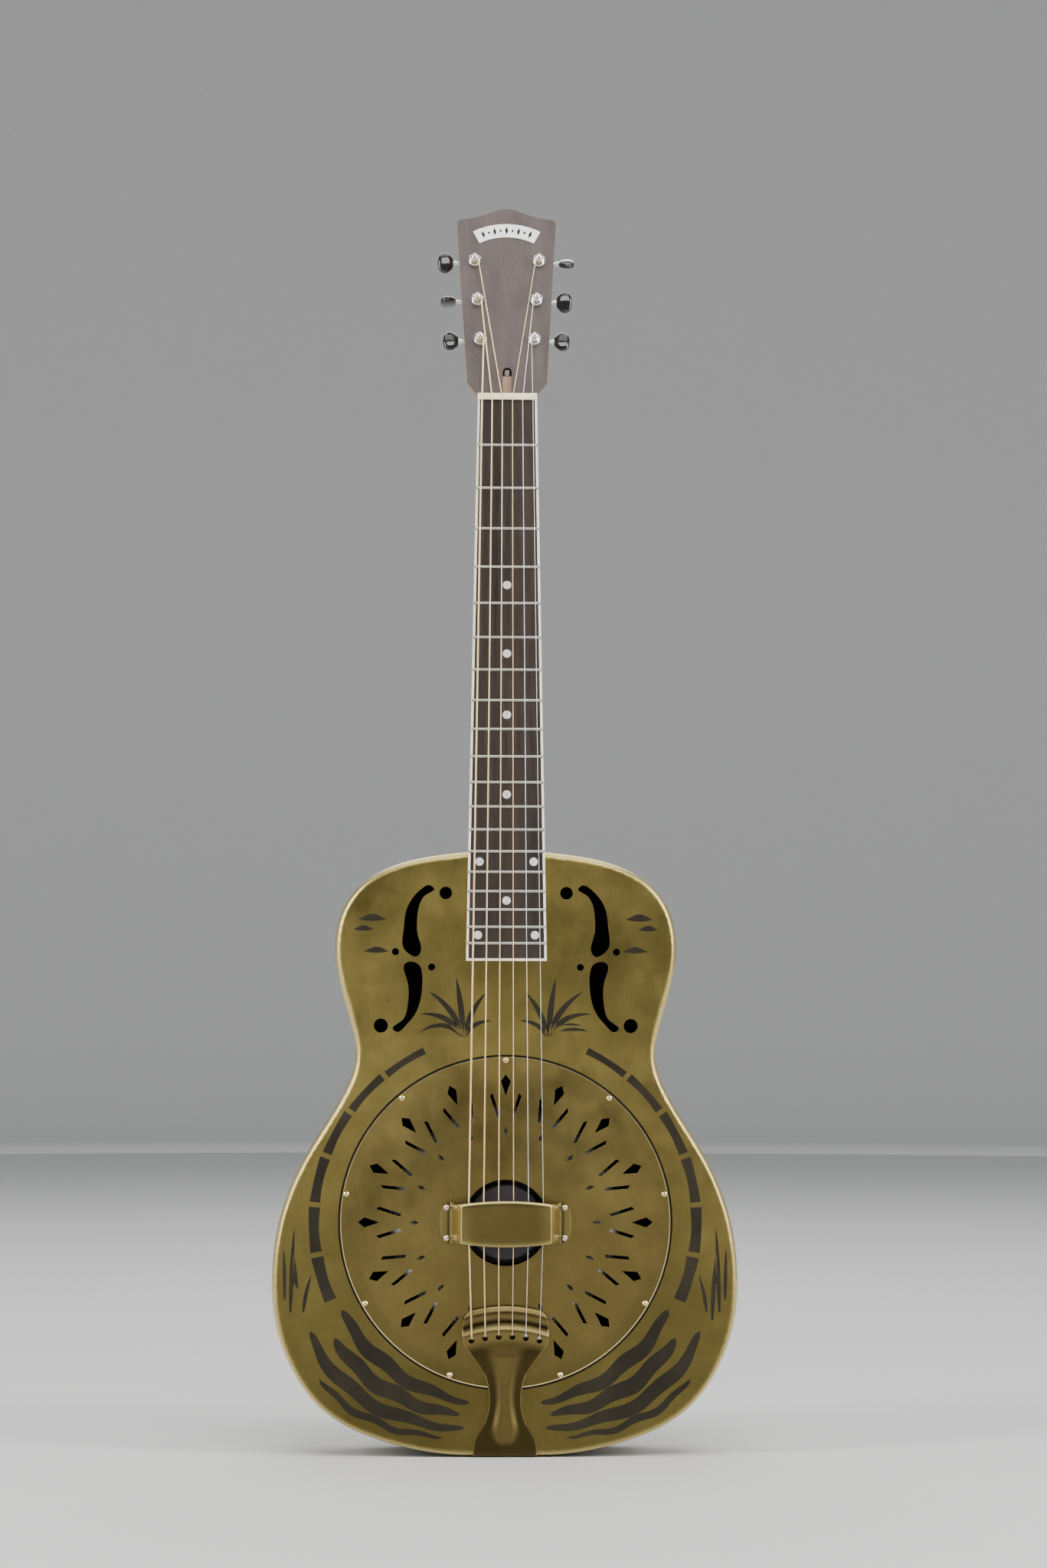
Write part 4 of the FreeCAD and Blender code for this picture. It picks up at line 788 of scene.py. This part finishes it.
def cloud_loops():
    """Small drifting lens shapes outside the openings."""
    loops = []
    for x, z, length, height in ((104, 417, 22, 4.2), (111, 409, 16, 3.2), (101, 392, 20, 3.6)):
        bulge = [math.sin(math.pi * i / 10) for i in range(11)]
        upper = [(x + length * (i / 10 - 0.5), z + height * bulge[i] ** 1.4) for i in range(11)]
        lower = [(x + length * (0.5 - i / 10), z - 0.35 * height * bulge[i]) for i in range(1, 10)]
        loops.append(upper + lower)
    return loops


def make_etching():
    """The five pictures on the top, each on the treble and the bass side."""
    proud, sunk = 0.05, 0.1
    pictures = (("stalk", stalk_loops()), ("ripples", ripple_loops()), ("tuft", tuft_loops()),
                ("reeds", reed_loops()), ("cloud", cloud_loops()))
    for name, loops in pictures:
        for side, sided in (("treble", loops), ("bass", [mirrored(loop) for loop in loops])):
            piece = flat_piece("etched_%s_%s" % (name, side), sided, TOP_Y - proud, TOP_Y + sunk)
            finish_piece(piece, "guitar", "dark_brass", MATERIALS["etched"])


def circle(radius):
    """Closed outline of a circle about the coverplate's centre."""
    count = 240
    return [polar(radius, 360 * i / count) for i in range(count)]


def make_plate_rings():
    """Near-black ring as painted shadow in the gap round the coverplate, and a painted highlight line on its
    edge.
    """
    # painted shadow: near-black ring in the gap round the coverplate
    gap_shadow = flat_piece("plate_gap_shadow", [circle(129.95), circle(128.32)], TOP_Y + 1.25, TOP_Y + 1.5)
    finish_piece(gap_shadow, "guitar", "plate_brass", MATERIALS["etched"])
    # painted highlight: bright ring on the coverplate's edge
    line = flat_piece("plate_edge_highlight", [circle(128.31), circle(127.55)], TOP_Y + 0.13, TOP_Y + 0.5)
    finish_piece(line, "guitar", "plate_brass", MATERIALS["bright_brass"])


# ---- headstock ------------------------------------------------------------------------------------
def make_badge_ornament():
    """Row of small lozenges round the arched badge."""
    outer, inner, badge_top = 58.0, 46.8, 144.2 - NUT_THICKNESS + 5.4
    middle = (outer + inner) / 2
    centre = badge_top - outer
    loops = []
    for i in range(-4, 5):
        turn = math.radians(90 - 5.2 * i)
        tall, wide = (3.4, 1.3) if i % 2 == 0 else (1.5, 1.0)
        out = Vector((math.cos(turn), math.sin(turn)))
        across = Vector((-out.y, out.x))
        spot = Vector((0, centre)) + out * middle
        loops.append([tuple(spot + out * tall), tuple(spot + across * wide), tuple(spot - out * tall),
                      tuple(spot - across * wide)])
    piece = flat_piece("badge_ornament", loops, -0.85, -0.7, head_matrix())
    finish_piece(piece, "guitar", "steel", MATERIALS["etched"])


def make_buttons():
    """Oval tuner buttons with soft shoulders, each left at its own angle."""
    length, tall, thick = 12.9, 17.3, 6.7
    rings, sides = 20, 40
    spots = POSTS + [(-x, z) for x, z in reversed(POSTS)]
    for number, ((x, z), turn) in enumerate(zip(spots, BUTTON_TURN), start=1):
        vertices, faces = [], []
        for r in range(rings + 1):
            t = r / rings
            across = (1 - abs(2 * t - 1) ** 2.6) ** (1 / 2.3) if 0 < r < rings else 0.0
            narrow = 0.80 + 0.20 * smoothstep(0.0, 0.55, t)
            for s in range(sides):
                a = 2 * math.pi * s / sides
                ca, sa = math.cos(a), math.sin(a)
                y = thick / 2 * across ** 0.8 * math.copysign(abs(ca) ** 0.85, ca) * (0.86 + 0.14 * t)
                h = tall / 2 * across * narrow * math.copysign(abs(sa) ** 0.95, sa)
                vertices.append((BUTTON_START + length * t, y, h))
        for r in range(rings):
            for s in range(sides):
                a, b = r * sides + s, r * sides + (s + 1) % sides
                faces.append((a, b, b + sides, a + sides))
        button = mesh_object("button_%d" % number, vertices, faces)
        mend_normals(button.data, gap=1e-7)
        side = Matrix.Rotation(math.radians(180 if x < 0 else 0), 4, "Z")
        place = head_matrix() @ Matrix.Translation((x, WORM_Y, z + WORM_Z)) @ side @ turn_x(turn)
        place.translation *= MM
        button.data.transform(place)
        subdivide = button.modifiers.new("smooth", "SUBSURF")
        subdivide.levels = 1
        subdivide.render_levels = 1
        finish_piece(button, "worm_%d" % number, "button_black", MATERIALS["button_black"],
                     "tuner_button_%d" % number)


# ---- studio ---------------------------------------------------------------------------------------
def make_stage():
    """Flat pale floor that curves up into a round wall."""
    flat, bend, top, arc, sides = 5.2, 1.8, 5.5, 12, 96
    profile = [(flat, 0.0)]
    for i in range(1, arc + 1):
        turn = math.radians(90 * i / arc)
        profile.append((flat + bend * math.sin(turn), bend * (1 - math.cos(turn))))
    profile.append((flat + bend, top))
    vertices, faces = [], []
    for radius, height in profile:
        for s in range(sides):
            turn = 2 * math.pi * s / sides
            vertices.append((radius / MM * math.cos(turn), radius / MM * math.sin(turn), height / MM))
    for r in range(len(profile) - 1):
        for s in range(sides):
            a, b = r * sides + s, r * sides + (s + 1) % sides
            faces.append((a, b, b + sides, a + sides))
    faces.append(tuple(range(sides)))
    bowl = mesh_object("studio_bowl", vertices, faces)
    bowl.data.polygons[len(faces) - 1].use_smooth = False
    bowl.data.materials.append(studio_paper("studio_paper"))


def area_light(name, at, aim, size, power, colour=(1, 1, 1)):
    """Soft light box, in metres and watts, that faces a point."""
    lamp = bpy.data.lights.new(name, "AREA")
    lamp.shape = "RECTANGLE"
    lamp.size, lamp.size_y = size
    lamp.energy = power
    lamp.color = colour
    thing = bpy.data.objects.new(name, lamp)
    thing.location = at
    thing.rotation_euler = (Vector(aim) - Vector(at)).to_track_quat("-Z", "Y").to_euler()
    thing.visible_camera = False
    bpy.context.scene.collection.objects.link(thing)


def make_lights():
    """Two tall boxes at the sides, three softer ones round them and a pale sky."""
    middle = (0.0, 0.0, 0.5)
    area_light("left_box", (-2.4, -1.3, 1.45), middle, (0.9, 2.4), 95, (1.0, 0.98, 0.95))
    area_light("right_box", (2.4, -1.3, 1.45), middle, (0.9, 2.4), 100, (1.0, 0.98, 0.95))
    area_light("front_top_box", (0.3, -2.2, 3.0), middle, (2.4, 1.2), 60)
    area_light("back_box", (0.0, 2.4, 2.6), middle, (2.6, 1.2), 45)
    area_light("overhead", (0.0, 0.0, 4.2), middle, (3.5, 3.5), 75)
    world = bpy.data.worlds.new("studio")
    world.use_nodes = True
    sky = world.node_tree.nodes["Background"]
    sky.inputs["Color"].default_value = (0.9, 0.94, 1.0, 1)
    sky.inputs["Strength"].default_value = 0.35
    bpy.context.scene.world = world


def make_camera():
    """Long lens, far in front of the guitar, with a slight tilt."""
    lens = bpy.data.cameras.new("camera")
    lens.sensor_fit = "VERTICAL"
    lens.sensor_height = 36
    lens.lens = CAMERA_LENS
    lens.clip_end = 60
    camera = bpy.data.objects.new("camera", lens)
    turn = Matrix.Rotation(math.radians(-CAMERA_YAW), 4, "Z") @ turn_x(90 + CAMERA_PITCH)
    turn = turn @ Matrix.Rotation(math.radians(CAMERA_ROLL), 4, "Z")
    camera.matrix_world = Matrix.Translation(Vector(CAMERA_AT) * MM) @ turn
    bpy.context.scene.collection.objects.link(camera)
    bpy.context.scene.camera = camera


dress_cad_nodes()
soften("body_top", 0.7)
soften("coverplate", 0.35)
soften("body_back", 0.35)
soften("headstock_overlay", 0.3)
make_handrest()
make_tailpiece()
make_etching()
make_plate_rings()
make_badge_ornament()
make_buttons()
make_stage()
make_lights()
make_camera()
